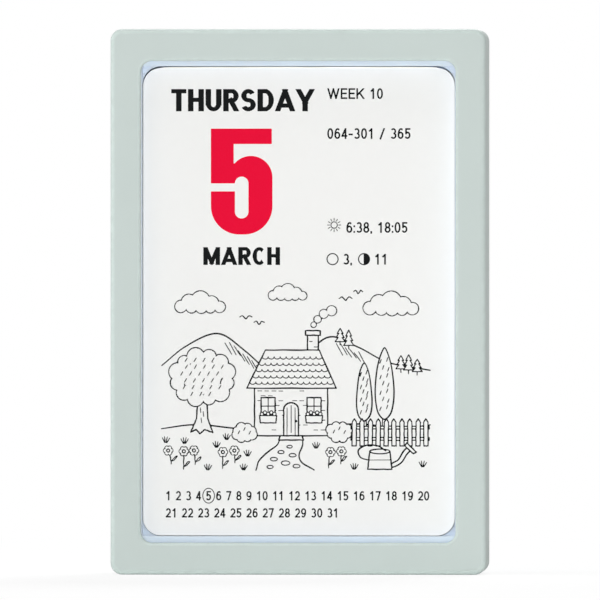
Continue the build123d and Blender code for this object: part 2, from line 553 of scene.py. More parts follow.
def white_studio_paper(name, colour):
    """Rolled studio paper under an even light.

    The eye sees plain white with only a faint shadow where the calendar stands. What the camera, a
    reflection or a see-through piece sees of it is mostly its own white, so that it joins the backdrop;
    near the calendar a fifth of it is the lit paper, which holds the shadow.
    """
    made, tree, place = material_base(name)
    pure_white = (1.0, 1.0, 1.0, 1.0)
    tooth = add(tree, "ShaderNodeTexNoise", links={"Vector": place, "Scale": per_mm(1.5), "Detail": 3.0})
    sheet = add(tree, "ShaderNodeMixRGB", links={
        "Fac": tooth, "Color1": shade(colour, 0.985), "Color2": shade(colour, 1.015),
    })
    lit = add(tree, "ShaderNodeBsdfPrincipled", links={
        "Base Color": sheet, "Roughness": 0.95, "Specular IOR Level": 0.0,
    })
    white = add(tree, "ShaderNodeEmission", links={"Color": pure_white, "Strength": 1.0})
    # Lit and own white together come to 1 where the paper, out of the shadow, is lit to this level.
    lit_share, lit_level = 0.2, 0.72
    own_white = (1.0 - lit_share * lit_level) / (1.0 - lit_share)
    glow = add(tree, "ShaderNodeEmission", links={"Color": pure_white, "Strength": own_white})
    shadowed = add(tree, "ShaderNodeMixShader", links={0: lit_share, 1: glow, 2: lit})
    shadow_fades, shadow_ends = 140.0 * MM, 450.0 * MM
    away = add(tree, "ShaderNodeVectorMath", {"operation": "LENGTH"}, {0: place})
    near = add(tree, "ShaderNodeMapRange", {"interpolation_type": "SMOOTHSTEP"}, {
        "Value": away.outputs["Value"], "From Min": shadow_fades, "From Max": shadow_ends,
        "To Min": 1.0, "To Max": 0.0,
    })
    shown = add(tree, "ShaderNodeMixShader", links={0: near, 1: white, 2: shadowed})
    either = add(tree, "ShaderNodeMixShader", links={0: seen_rays(tree), 1: lit, 2: shown})
    add(tree, "ShaderNodeOutputMaterial", links={"Surface": either})
    return made


def seen_rays(tree):
    """1 for rays from the camera, from a reflection or through glass, else 0."""
    path = add(tree, "ShaderNodeLightPath")
    either = add(tree, "ShaderNodeMath", {"operation": "MAXIMUM"}, {
        0: path.outputs["Is Camera Ray"], 1: path.outputs["Is Glossy Ray"],
    })
    return add(tree, "ShaderNodeMath", {"operation": "MAXIMUM"}, {
        0: either, 1: path.outputs["Is Transmission Ray"],
    })


# Print


# Letters and figures as pen strokes on a box that is 1 wide and 1 high between stroke centres.
# A bar is (x0, y0, x1, y1) and a bow is (centre x, centre y, radius x, radius y, from, to) in degrees.
# The number in front is the width of the letter for a height of 1.
LETTERS = {
    "A": (0.86, [(-0.06, -0.12, 0.5, 1), (1.06, -0.12, 0.5, 1), (0.22, 0.2, 0.78, 0.2)]),
    "C": (0.74, [(0.52, 0.5, 0.52, 0.5, 44, 316)]),
    "D": (0.74, [(0, 0, 0, 1), (0, 1, 0.42, 1), (0, 0, 0.42, 0), (0.42, 0.5, 0.58, 0.5, -90, 90)]),
    "E": (0.62, [(0, 0, 0, 1), (0, 1, 1, 1), (0, 0.52, 0.88, 0.52), (0, 0, 1, 0)]),
    "F": (0.58, [(0, 0, 0, 1), (0, 1, 1, 1), (0, 0.5, 0.86, 0.5)]),
    "H": (0.72, [(0, 0, 0, 1), (1, 0, 1, 1), (0, 0.52, 1, 0.52)]),
    "I": (0.0, [(0, 0, 0, 1)]),
    "K": (0.74, [(0, 0, 0, 1), (1, 1.06, 0, 0.3), (0.36, 0.6, 1.04, -0.06)]),
    "M": (0.94, [(0, 0, 0, 1), (1, 0, 1, 1), (0, 1.06, 0.5, 0.06), (1, 1.06, 0.5, 0.06)]),
    "R": (0.72, [
        (0, 0, 0, 1), (0, 1, 0.56, 1), (0, 0.47, 0.56, 0.47),
        (0.56, 0.735, 0.4, 0.265, -90, 90), (0.48, 0.47, 1.04, -0.14),
    ]),
    "S": (0.68, [(0.5, 0.75, 0.46, 0.25, 24, 270), (0.5, 0.25, 0.5, 0.25, -156, 90)]),
    "T": (0.68, [(0, 1, 1, 1), (0.5, 0, 0.5, 1)]),
    "U": (0.72, [(0, 0.36, 0, 1), (1, 0.36, 1, 1), (0.5, 0.36, 0.5, 0.36, 180, 360)]),
    "W": (1.14, [(0, 1.06, 0.26, 0), (0.26, 0, 0.5, 1), (0.5, 1, 0.74, 0), (0.74, 0, 1, 1.06)]),
    "Y": (0.8, [(-0.08, 1.12, 0.5, 0.4), (1.08, 1.12, 0.5, 0.4), (0.5, 0, 0.5, 0.44)]),
    "0": (0.55, [(0.5, 0.5, 0.5, 0.5, 0, 360)]),
    "1": (0.55, [(0.6, 0, 0.6, 1), (0.16, 0.8, 0.6, 0.98)]),
    "2": (0.55, [(0.5, 0.7, 0.48, 0.3, -32, 168), (0.92, 0.53, 0.0, 0.0), (0, 0, 1, 0)]),
    "3": (0.55, [(0.46, 0.745, 0.46, 0.255, -90, 150), (0.48, 0.255, 0.52, 0.255, -156, 90)]),
    "4": (0.55, [(0.76, 0, 0.76, 1), (0, 0.24, 1.0, 0.24), (0.0, 0.24, 0.76, 1.04)]),
    "5": (0.55, [
        (0.12, 1, 0.94, 1), (0.12, 0.5, 0.12, 1), (0.12, 0.6, 0.3, 0.62),
        (0.44, 0.31, 0.52, 0.31, -152, 120),
    ]),
    "6": (0.55, [(0.5, 0.31, 0.5, 0.31, 0, 360), (0.6, 0.36, 0.6, 0.64, 52, 180)]),
    "7": (0.55, [(0, 1, 1, 1), (0.98, 1, 0.34, -0.04)]),
    "8": (0.55, [(0.5, 0.755, 0.42, 0.245, 0, 360), (0.5, 0.255, 0.5, 0.255, 0, 360)]),
    "9": (0.55, [(0.5, 0.69, 0.5, 0.31, 0, 360), (0.4, 0.64, 0.6, 0.64, -128, 0)]),
    "-": (0.4, [(0, 0.4, 1, 0.4)]),
    "/": (0.5, [(0, -0.06, 1, 1.06)]),
    ":": (0.0, [(0, 0.0, 0, 0.02), (0, 0.62, 0, 0.64)]),
    ",": (0.0, [(0.0, -0.1, 0.0, 0.02)]),
    " ": (0.3, []),
}

# Large condensed figures as boxes of (add or cut, left, top, right, bottom, corner radius), for a width
# of 1 and a height of 1.72.
FIGURES = {
    "5": [
        (1, 0.3, 0.444, 1.0, 1.4, 0.35), (1, 0.0, 0.56, 1.0, 1.72, 0.46),
        (1, 0.0, 0.0, 0.37, 0.89, 0.0), (1, 0.0, 0.0, 0.99, 0.25, 0.0),
        (-1, 0.39, 0.78, 0.61, 1.46, 0.11), (-1, -0.1, 0.89, 0.39, 1.02, 0.0),
    ],
    "6": [
        (1, 0.0, 0.0, 1.0, 1.72, 0.46), (-1, 0.39, 0.26, 0.61, 0.66, 0.11),
        (-1, 0.5, 0.55, 1.1, 0.68, 0.0), (-1, 0.39, 0.92, 0.61, 1.46, 0.11),
        (-1, 0.39, 0.55, 0.61, 0.74, 0.08),
    ],
}


class Type(NamedTuple):
    """Size of a line of letters in millimetres, and the share of the stroke that level strokes keep."""

    height: float
    stroke: float
    gap: float
    contrast: float = 1.0


BOLD_CONTRAST = 0.76
MONTH_TYPE = Type(height=4.57, stroke=1.14, gap=0.38, contrast=BOLD_CONTRAST)
SMALL_TYPE = Type(height=2.76, stroke=0.42, gap=0.3)
DAYS_TYPE = Type(height=2.4, stroke=0.37, gap=0.24)

# Made up lines of each leaf, the gap between the letters of its weekday, and how its drawing is made
LEAF_LINES = {
    "todays": {
        "week": "WEEK 10", "count": "064-301 / 365", "sun": "6:38, 18:05", "moons": ("3,", "11"),
        "weekday_gap": 0.42, "seed": 7, "mirrored": False,
    },
    "tomorrows": {
        "week": "WEEK 10", "count": "065-300 / 365", "sun": "6:36, 18:07", "moons": ("3,", "11"),
        "weekday_gap": 0.75, "seed": 41, "mirrored": True,
    },
}

# Each plate's left, top, right and bottom on the leaf and the pitch of its grid, in millimetres
NUMERAL_PLATE = (15.0, 13.0, 36.0, 45.0, 0.16)
WORDS_PLATE = (3.0, 2.0, 77.0, 53.0, 0.1)
DRAWING_PLATE = (3.5, 53.0, 76.0, 105.0, 0.135)
DAYS_PLATE = (4.0, 105.0, 77.0, 117.5, 0.1)

# Left and right end of the drawing
VIEW_LEFT, VIEW_RIGHT = 4.7, 73.7

# A plate's distance where there is no ink nearby, and a length that is as good as none
NO_INK = 9.0
TINY = 1e-6


def bar_distance(x, y, bar, half, flat):
    """Signed distance to a bar: a box along the run between its ends, thinner the more level it lies."""
    a, b, c, d = bar
    length = max(math.hypot(c - a, d - b), TINY)
    along_x, along_y = (c - a) / length, (d - b) / length
    along = (x - a) * along_x + (y - b) * along_y - length / 2
    aside = (y - b) * along_x - (x - a) * along_y
    thick = half - (half - flat) * abs(along_x)
    return np.maximum(np.abs(along) - length / 2 - half, np.abs(aside) - thick)


def bow_distance(x, y, ellipse, start, end, half, flat):
    """Signed distance to a band along an ellipse, to first order, kept between two angles in degrees."""
    a, b, p, q = ellipse
    out_x, out_y = (x - a) / p, (y - b) / q
    rho = np.maximum(np.hypot(out_x, out_y), TINY)
    slope = np.hypot(out_x / p, out_y / q) / rho
    thick = half - (half - flat) * np.abs(out_y) / rho
    near = np.abs(rho - 1) / np.maximum(slope, TINY) - thick
    turn = (np.degrees(np.arctan2(out_y, out_x)) - start) % 360
    return np.where(turn <= end - start, near, NO_INK)


class InkPlate:
    """Printing plate: a grid of signed distances to the nearest ink in millimetres, below zero in ink.

    Across runs to the right from the leaf's left edge, and down runs from the leaf's head.
    """

    def __init__(self, left, top, right, bottom, step):
        self.across = np.arange(left, right + step, step)
        self.down = np.arange(top, bottom + step, step)
        self.step = step
        self.distance = np.full((len(self.down), len(self.across)), NO_INK)

    def part(self, left, top, right, bottom):
        """Slices of the grid that cover a box, and the coordinates there."""
        columns = slice(*np.searchsorted(self.across, [left, right]))
        rows = slice(*np.searchsorted(self.down, [top, bottom]))
        return (rows, columns), self.across[columns][None, :], self.down[rows][:, None]

    def lay(self, where, distance):
        """Adds ink: the smaller of the two distances."""
        self.distance[where] = np.minimum(self.distance[where], distance)

    def pen(self, points, radii):
        """Round nibbed line: the distance to each run, less the nib's radius between its two ends."""
        points = np.asarray(points, dtype=float)
        radii = np.broadcast_to(radii, len(points))
        for start, end, r, s in zip(points[:-1], points[1:], radii[:-1], radii[1:]):
            reach = max(r, s) + 2 * self.step
            where, x, y = self.part(*np.minimum(start, end) - reach, *np.maximum(start, end) + reach)
            (a, b), (run_x, run_y) = start, end - start
            length = max(run_x * run_x + run_y * run_y, TINY ** 2)
            share = np.clip(((x - a) * run_x + (y - b) * run_y) / length, 0, 1)
            self.lay(where, np.hypot(x - a - share * run_x, y - b - share * run_y) - (r + share * (s - r)))

    def clear(self, outline):
        """Takes the ink out of a closed outline, by counting the edges to the right of each point."""
        outline = np.asarray(outline, dtype=float)
        where, x, y = self.part(*outline.min(0), *outline.max(0))
        inside = np.zeros(np.broadcast_shapes(x.shape, y.shape), dtype=bool)
        for (a, b), (c, d) in zip(outline, np.roll(outline, -1, axis=0)):
            if b != d:
                inside ^= ((b > y) != (d > y)) & (x < (c - a) * (y - b) / (d - b) + a)
        self.distance[where] = np.where(inside, NO_INK, self.distance[where])

    def box(self, sign, left, top, right, bottom, radius):
        """Adds or cuts a rounded box: the distance to the box drawn in by the radius, less the radius."""
        reach = 4 * self.step
        where, x, y = self.part(left - reach, top - reach, right + reach, bottom + reach)
        over_x = np.abs(x - (left + right) / 2) - (right - left) / 2 + radius
        over_y = np.abs(y - (top + bottom) / 2) - (bottom - top) / 2 + radius
        outside = np.hypot(np.maximum(over_x, 0), np.maximum(over_y, 0))
        distance = outside + np.minimum(np.maximum(over_x, over_y), 0) - radius
        if sign > 0:
            self.lay(where, distance)
        else:
            self.distance[where] = np.maximum(self.distance[where], -distance)

    def letter(self, sign, left, base, kind):
        """One letter, which gives its advance.

        Strokes that run level are thinner than upright ones by the contrast, and slanting ones lie between.
        The whole is cut off at the base and at the letter's height; signs with a tail reach below the base.
        """
        width, strokes = LETTERS[sign]
        half, flat = kind.stroke / 2, kind.stroke * kind.contrast / 2
        wide, high = max(width * kind.height - kind.stroke, 0.0), kind.height - 2 * flat
        reach = kind.stroke + 2 * self.step
        where, x, y = self.part(
            left - reach, base - kind.height - reach, left + wide + 2 * reach, base + reach
        )
        x, y = x - left - half, base - flat - y
        ink = np.full(np.broadcast_shapes(x.shape, y.shape), NO_INK)
        for stroke in strokes:
            place = np.array(stroke[:4]) * (wide, high, wide, high)
            if len(stroke) == 4:
                ink = np.minimum(ink, bar_distance(x, y, place, half, flat))
            else:
                ink = np.minimum(ink, bow_distance(x, y, place, *stroke[4:], half, flat))
        tail = 0.3 * kind.height if sign in ",/" else 0.0
        self.lay(where, np.maximum(ink, np.maximum(-flat - tail - y, y - high - flat)))
        return wide + kind.stroke

    def words(self, text, left, base, kind):
        """A line of letters, and where it ends."""
        for sign in text:
            left += self.letter(sign, left, base, kind) + kind.gap
        return left - kind.gap

    def figure(self, sign, left, top, width):
        """One large figure from its boxes."""
        for way, *sides, radius in FIGURES[sign]:
            self.box(way, *np.array(sides) * width + (left, top, left, top), radius * width)


def words_width(text, kind):
    """Length of a line of letters before it is set."""
    letters = [max(LETTERS[sign][0] * kind.height - kind.stroke, 0.0) + kind.stroke for sign in text]
    return sum(letters) + kind.gap * (len(text) - 1)


def oval(middle, radii, points=49):
    """Closed ellipse: the middle plus the cosine and sine of a full turn times the radii."""
    turn = np.linspace(0, 2 * math.pi, points)
    return np.array(middle) + np.array(radii) * np.stack([np.cos(turn), np.sin(turn)], 1)


def moved(points, across, down, wide=1.0, tall=1.0):
    """Points made wider and taller, and set at a place."""
    return np.array(points) * (wide, tall) + (across, down)


def smooth_line(points, closed=False, per_span=9):
    """Line through points in cubic spans, each of which leaves a point along the run of its neighbours."""
    points = np.asarray(points, dtype=float)
    if closed:
        padded = np.vstack([points[-1], points, points[0], points[1]])
    else:
        padded = np.vstack([2 * points[0] - points[1], points, 2 * points[-1] - points[-2]])
    p0, p1, p2, p3 = (padded[k:len(padded) - 3 + k, None, :] for k in range(4))
    t = np.linspace(0, 1, per_span, endpoint=False)[None, :, None]
    square, cube = 2 * p0 - 5 * p1 + 4 * p2 - p3, 3 * p1 - p0 - 3 * p2 + p3
    line = 0.5 * (2 * p1 + (p2 - p0) * t + square * t ** 2 + cube * t ** 3)
    return np.vstack([line.reshape(-1, 2), points[0 if closed else -1]])


class Drawing:
    """Pen drawing on an ink plate, from the back to the front; each shape first clears its own place.

    Places are across and down the leaf in millimetres. A weight is a share of the pen's width.
    """

    def __init__(self, plate, pen_width, seed, mirrored):
        self.plate = plate
        self.nib = pen_width / 2
        self.random = np.random.default_rng(seed)
        self.mirrored = mirrored

    def place(self, points):
        """Points on the leaf, turned left to right where the drawing is mirrored."""
        points = np.array(points, dtype=float)
        if self.mirrored:
            points[:, 0] = VIEW_LEFT + VIEW_RIGHT - points[:, 0]
        return points

    def line(self, points, weight=1.0, shake=0.05):
        """A line by hand: a slow shake aside, and a nib that swells in the middle and thins at the ends."""
        points = self.place(points)
        slow = np.linspace(0, 1, len(points))
        phase = self.random.uniform(0, 2 * math.pi, 4)
        wave = np.stack([np.sin(17 * slow + phase[0]), np.sin(13 * slow + phase[1])], axis=1)
        swell = 0.86 + 0.2 * np.sin(math.pi * slow) + 0.08 * np.sin(11 * slow + phase[2])
        self.plate.pen(points + shake * wave, self.nib * weight * swell)

    def curve(self, points, weight=1.0):
        """Smooth line through points."""
        self.line(smooth_line(points), weight)

    def shape(self, points, weight=1.0, smooth=False):
        """Closed shape in front of what was drawn before."""
        points = np.asarray(points, dtype=float)
        outline = smooth_line(points, closed=True) if smooth else np.vstack([points, points[:1]])
        self.plate.clear(self.place(outline))
        if smooth:
            self.line(outline, weight)
        else:
            for start, end in zip(outline[:-1], outline[1:]):
                self.line(np.linspace(start, end, 7), weight, shake=0.04)

    def box(self, left, top, right, bottom, weight=1.0):
        """Closed upright box."""
        self.shape([(left, top), (right, top), (right, bottom), (left, bottom)], weight)

    def ground(self, edge, foot):
        """Edge of a hill or meadow, in front of what was drawn before down to its foot."""
        self.plate.clear(self.place(np.vstack([edge, [(edge[-1, 0], foot), (edge[0, 0], foot)]])))
        self.line(edge)

    def bow(self, middle, radii, start=0.0, sweep=360.0, weight=1.0, clear=False):
        """Part of an ellipse, anticlockwise from an angle in degrees."""
        turn = np.radians(start + sweep * np.linspace(0, 1, 25))
        edge = np.stack([middle[0] + radii[0] * np.cos(turn), middle[1] - radii[1] * np.sin(turn)], 1)
        if clear:
            self.plate.clear(self.place(edge))
        self.line(edge, weight, shake=0.02)

    def puffs(self, discs, weight=1.0):
        """Leafy or cloudy shape: the edge of several discs together.

        Every disc is drawn, and then each one is cleared of ink up to half a nib inside its edge.
        """
        discs = np.array(discs, dtype=float)
        discs[:, :2] = self.place(discs[:, :2])
        nib = self.nib * weight
        insides = [oval((across, down), (radius - nib, radius - nib)) for across, down, radius in discs]
        for outline in insides:
            self.plate.clear(outline)
        turn = np.linspace(0, 2 * math.pi, 49)
        for across, down, radius in discs:
            phase = self.random.uniform(0, 2 * math.pi)
            self.plate.pen(
                oval((across, down), (radius, radius)), nib * (0.92 + 0.16 * np.sin(2 * turn + phase))
            )
        for outline in insides:
            self.plate.clear(outline)

    def leafy(self, middle, radii, count, size):
        """Discs along an ellipse and one ring of them inside, each a little larger or smaller."""
        turn = 2 * math.pi * (np.arange(count) + 0.5) / count
        swell = size * (1 + 0.16 * np.sin(5 * turn + self.random.uniform(0, 6)))
        edge = np.array(middle) + np.array(radii) * np.stack([np.cos(turn), np.sin(turn)], 1)
        rings = np.vstack([edge, (edge + middle) / 2])
        return np.vstack([np.column_stack([rings, np.tile(swell, 2)]), [(*middle, size)]])

    def ticks(self, starts, run, weight):
        """Short parallel strokes."""
        for start in starts:
            self.line(np.linspace(start, np.array(start) + run, 4), weight, shake=0.02)


def draw_country_view(plate, pen_width, seed, mirrored):
    """Cottage between hills, trees and a fence, as a pen drawing."""
    pen = Drawing(plate, pen_width, seed, mirrored)
    draw_sky(pen)
    draw_hills(pen)
    draw_poplars(pen)
    draw_walls(pen)
    draw_door(pen)
    draw_window(pen, left=30.3)
    draw_window(pen, left=42.1)
    draw_chimney(pen)
    draw_roof(pen)
    draw_round_tree(pen)
    draw_bushes(pen)
    draw_fence(pen)
    draw_path(pen)
    draw_watering_can(pen)
    draw_flowers(pen)
    draw_grass(pen)


def draw_sky(pen):
    """Three clouds with flat feet, and birds between them."""
    cloud = np.array([
        (-4.6, 0.2, 1.5), (-2.6, -0.9, 1.9), (0.2, -1.3, 2.3), (2.9, -0.6, 1.8), (4.9, 0.3, 1.4),
        (-2.0, 0.4, 1.4), (0.4, 0.4, 1.5), (2.6, 0.5, 1.3),
    ])
    for across, down, size in ((14.5, 61.0, 1.05), (37.0, 58.2, 0.8), (63.5, 61.4, 1.15)):
        pen.puffs(cloud * size + (across, down, 0), weight=0.9)
    wings = [(-1.0, -0.5), (-0.5, -0.8), (0.0, 0.0), (0.5, -0.8), (1.0, -0.5)]
    for across, down, span in ((26.4, 64.4, 1.6), (29.8, 65.8, 1.3), (52.0, 59.6, 1.7), (55.2, 57.9, 1.2)):
        pen.curve(moved(wings, across, down, span), weight=0.8)


def draw_hills(pen):
    """Two ridges with hatched flanks, firs on the far one, and the meadow before them."""
    far = smooth_line([(30, 84), (38, 78), (47, 69.3), (55, 71.5), (63, 75.6), (VIEW_RIGHT, 77.6)])
    near = smooth_line([(VIEW_LEFT, 76.4), (11, 71.4), (19, 68.2), (26, 72.4), (33, 79), (40, 85)])
    meadow = smooth_line([
        (VIEW_LEFT, 92.6), (14, 91.6), (26, 92.6), (40, 92.2), (55, 91.4), (66, 92.4), (VIEW_RIGHT, 91.6),
    ])
    hill_foot, meadow_foot, hatch_pitch = 95.0, 103.6, 1.15
    for ridge, hatch_left, hatch_right in ((far, 49.6, 56.0), (near, 21.0, 30.0)):
        pen.ground(ridge, hill_foot)
        for across in np.arange(hatch_left, hatch_right, hatch_pitch):
            top = np.interp(across, *ridge.T) + 1.0 + pen.random.uniform(0, 0.9)
            foot = (across + 1.7, top + pen.random.uniform(2.0, 3.4))
            pen.line(np.linspace((across, top), foot, 4), weight=0.65, shake=0.03)
    for across in (50.6, 52.8, 66.2, 68.2, 70.4):
        draw_fir(pen, across, np.interp(across, *far.T) + 1.2)
    pen.ground(meadow, meadow_foot)


def draw_fir(pen, across, base):
    """Fir with three tiers of branches on a short stem."""
    tall = pen.random.uniform(3.4, 4.6)
    side = np.array([(0.0, 1.0), (0.75, 0.66), (0.35, 0.66), (1.05, 0.38), (0.5, 0.38), (1.3, 0.1)])
    branches = np.vstack([side, side[:0:-1] * (-1, 1)])
    pen.shape(moved(branches, across, base, tall=-tall), weight=0.75)
    pen.line([(across, base - 0.1 * tall), (across, base + 0.5)], weight=0.9)


def draw_poplars(pen):
    """Two slender trees, with short strokes for their leaves."""
    side = np.array([
        (0.0, -1.0), (0.42, -0.8), (0.72, -0.5), (0.9, -0.15),
        (1.0, 0.22), (0.94, 0.55), (0.66, 0.84), (0.0, 1.0),
    ])
    crown = np.vstack([side, side[-2:0:-1] * (-1, 1)])
    stem = 1.8
    for across, base, wide, tall in ((56.8, 92.4, 2.0, 7.4), (62.0, 92.0, 2.4, 9.2)):
        middle = base - tall - stem
        trunk = [(-0.45, middle), (0.45, middle), (0.55, base), (-0.55, base)]
        pen.shape(moved(trunk, across, 0.0), weight=0.8)
        pen.shape(moved(crown, across, middle, wide, tall), smooth=True)
        for row in range(7):
            down = middle + tall * (-0.62 + 0.22 * row)
            aside = 0.42 * wide * (1 if row % 2 else -1)
            leaves = [(across + aside - 0.2, down + 0.5), (across - 0.5 * aside, down)]
            pen.ticks(leaves, (0.35, -1.0), weight=0.7)


def draw_walls(pen):
    """Front of the cottage, with stones here and there in its rows."""
    left, head, right, foot = 28.6, 81.0, 47.4, 94.4
    row_height, stone_pitch, stone_width, share_of_stones = 1.25, 1.8, 1.1, 0.32
    pen.box(left, head, right, foot)
    for row, down in enumerate(np.arange(head + 1.9, foot - 0.4, row_height)):
        shift = stone_pitch / 2 * (row % 2)
        for across in np.arange(left + 0.8 + shift, right - 1.2, stone_pitch):
            if pen.random.uniform() < share_of_stones:
                pen.line([(across, down), (across + stone_width, down)], weight=0.6, shake=0.02)


def draw_door(pen):
    """Arched door with its boards, its knob and the step before it."""
    middle, half_width, foot, spring, arch_rise = 38.0, 1.9, 94.4, 87.6, 1.7
    turn = np.radians(np.linspace(180, 0, 9))
    arch = np.stack([middle + half_width * np.cos(turn), spring - arch_rise * np.sin(turn)], 1)
    pen.shape(np.vstack([(middle - half_width, foot), arch, (middle + half_width, foot)]))
    pen.ticks([(36.95, 87.2), (38.0, 86.6), (39.05, 87.2)], (0.0, 7.0), weight=0.6)
    pen.line([(39.3, 90.6), (39.36, 90.7)], weight=1.7, shake=0.0)
    pen.shape([(35.2, foot), (40.8, foot), (41.2, 95.5), (34.8, 95.5)])


def draw_window(pen, left):
    """Window of four panes over a box of flowers."""
    top, rail, sill, box_foot, width = 84.6, 86.8, 89.2, 91.1, 3.6
    right, middle = left + width, left + width / 2
    pen.box(left, top, right, sill)
    pen.line([(middle, top), (middle, sill)], weight=0.8, shake=0.02)
    pen.line([(left, rail), (right, rail)], weight=0.8, shake=0.02)
    planter = [(left - 0.4, sill), (right + 0.4, sill), (right + 0.2, box_foot), (left - 0.2, box_foot)]
    pen.shape(planter, weight=0.9)
    for k in range(5):
        bloom = (left + 0.2 + 0.8 * k, sill - 0.4 - 0.35 * (k % 2))
        pen.bow(bloom, (0.45, 0.45), weight=0.7, clear=True)


def draw_chimney(pen):
    """Chimney with a cap, a few bricks, and smoke that drifts to the right."""
    pen.shape([(42.2, 76.0), (42.2, 68.4), (45.0, 68.4), (45.0, 76.0)])
    pen.box(41.7, 67.4, 45.5, 68.6)
    pen.ticks([(42.7, 70.2), (43.9, 71.6), (42.6, 73.0)], (0.8, 0.0), weight=0.6)
    pen.puffs([(43.8, 65.9, 0.7), (44.8, 64.5, 0.95), (46.4, 63.1, 1.15), (48.4, 62.3, 1.3)], weight=0.85)


def draw_roof(pen):
    """Roof with five rows of round tiles."""
    eaves_left, eaves_right, eaves = 26.6, 49.6, 82.2
    ridge_left, ridge_right, ridge = 31.4, 45.2, 72.4
    first_row, row_height, tile_width = 74.1, 1.62, 1.45
    pen.shape([(eaves_left, eaves), (ridge_left, ridge), (ridge_right, ridge), (eaves_right, eaves)])
    for row in range(5):
        down = first_row + row_height * row
        share = (down - ridge) / (eaves - ridge)
        left = ridge_left + share * (eaves_left - ridge_left)
        right = ridge_right + share * (eaves_right - ridge_right)
        count = int((right - left) / tile_width)
        pitch = (right - left) / count
        for k in range(count):
            pen.bow((left + pitch * (k + 0.5), down), (pitch / 2, 0.62), start=180, sweep=180, weight=0.65)


def draw_round_tree(pen):
    """Tree with a round crown on the left."""
    pen.shape([
        (14.1, 84.0), (16.3, 84.0), (16.6, 90.0), (17.9, 93.6), (15.8, 92.8),
        (14.6, 93.9), (13.6, 92.8), (12.2, 93.5), (13.7, 90.0),
    ])
    pen.ticks([(14.7, 87.2), (15.4, 88.2), (14.9, 89.8)], (0.12, 1.3), weight=0.6)
    across, middle = 15.2, 79.4
    pen.puffs(pen.leafy((across, middle), (6.6, 5.5), count=12, size=2.0))
    first_row, row_height, shift, pitch = 75.4, 1.75, 0.9, 2.3
    half_width, half_height = 5.6, 6.6
    for row in range(6):
        down = first_row + row_height * row
        reach = half_width * math.sqrt(1 - ((down - middle) / half_height) ** 2)
        for aside in np.arange(-reach + shift * (row % 2), reach, pitch):
            pen.ticks([(across + aside, down)], (0.55, -0.95), weight=0.7)


def draw_bushes(pen):
    """Bush at each side of the cottage."""
    leaves = [(-1.6, 0.3), (-0.2, -0.5), (1.2, 0.4)]
    for middle, radii in (((26.0, 93.6), (2.1, 1.4)), ((50.4, 93.4), (2.3, 1.6))):
        pen.puffs(pen.leafy(middle, radii, count=8, size=1.15))
        pen.ticks(moved(leaves, *middle), (0.4, -0.8), weight=0.7)


def draw_fence(pen):
    """Two rails and a row of pointed slats that lean a little."""
    left, right, half_rail = 53.4, 73.5, 0.35
    for down in (92.3, 95.2):
        pen.box(left, down - half_rail, right, down + half_rail, weight=0.75)
    foot, shoulder, point, half_width, pitch = 97.0, 90.9, 90.0, 0.55, 2.05
    for across in np.arange(54.2, 73, pitch):
        lean = pen.random.uniform(-0.12, 0.12)
        slat = [
            (-half_width, foot), (lean - half_width, shoulder), (lean, point),
            (lean + half_width, shoulder), (half_width, foot),
        ]
        pen.shape(moved(slat, across, 0.0), weight=0.85)


def draw_path(pen):
    """Path from the door, with pebbles."""
    pen.curve([(35.0, 95.6), (34.0, 97.2), (31.2, 99.2), (29.6, 101.2), (29.0, 103.2)])
    pen.curve([(41.0, 95.6), (40.8, 97.4), (40.0, 99.6), (41.2, 101.6), (44.0, 103.2)])
    pebbles = (
        (37.6, 97.2, 0.7), (35.4, 98.6, 0.8), (38.4, 99.4, 0.9), (33.6, 100.4, 0.9), (36.6, 101.4, 1.1),
        (39.4, 102.2, 0.9), (32.6, 102.4, 0.8),
    )
    for across, down, wide in pebbles:
        pen.bow((across, down), (wide, wide * 0.5), weight=0.75)


def draw_watering_can(pen):
    """Can with an oval mouth, a spout with a rose, and a handle."""
    pen.shape([(58.2, 98.4), (63.4, 98.4), (63.9, 103.0), (57.7, 103.0)])
    pen.bow((60.8, 98.4), (2.6, 0.6), weight=0.9, clear=True)
    pen.curve([(63.7, 101.6), (65.4, 100.6), (67.2, 98.0), (68.3, 97.2)])
    pen.curve([(63.8, 102.6), (66.2, 101.4), (68.0, 98.8), (69.0, 98.0)])
    pen.shape([(67.7, 96.2), (70.2, 98.6), (69.4, 99.0), (67.2, 97.0)], weight=0.9)
    pen.curve([(58.0, 100.6), (55.9, 100.0), (55.3, 98.0), (57.2, 96.9), (60.2, 97.0), (62.4, 98.2)])
    pen.line([(57.95, 100.6), (63.65, 100.6)], weight=0.6)


def draw_flowers(pen):
    """Flowers with six petals and one leaf, on stems that lean."""
    flowers = (
        (7.2, 101.6, 3.4), (10.4, 103.0, 4.6), (13.4, 101.8, 3.6), (20.4, 102.8, 4.2), (23.6, 101.4, 3.2),
        (47.6, 102.6, 4.0), (50.8, 101.6, 3.2),
    )
    leaf = [(0.0, -0.6), (0.9, -1.7), (1.5, -1.9), (0.8, -1.0), (0.0, -0.6)]
    turn = np.radians(60.0 * np.arange(6))
    petals = np.column_stack([0.72 * np.cos(turn), 0.72 * np.sin(turn), np.full(6, 0.52)])
    for across, down, tall in flowers:
        lean = pen.random.uniform(-0.8, 0.8)
        head = (across + lean, down - tall)
        pen.curve([(across, down), (across + lean * 0.3, down - tall * 0.5), head], weight=0.8)
        pen.curve(moved(leaf, across, down), weight=0.7)
        pen.puffs(petals + (*head, 0.0), weight=0.8)
        pen.bow(head, (0.4, 0.4), weight=0.8, clear=True)


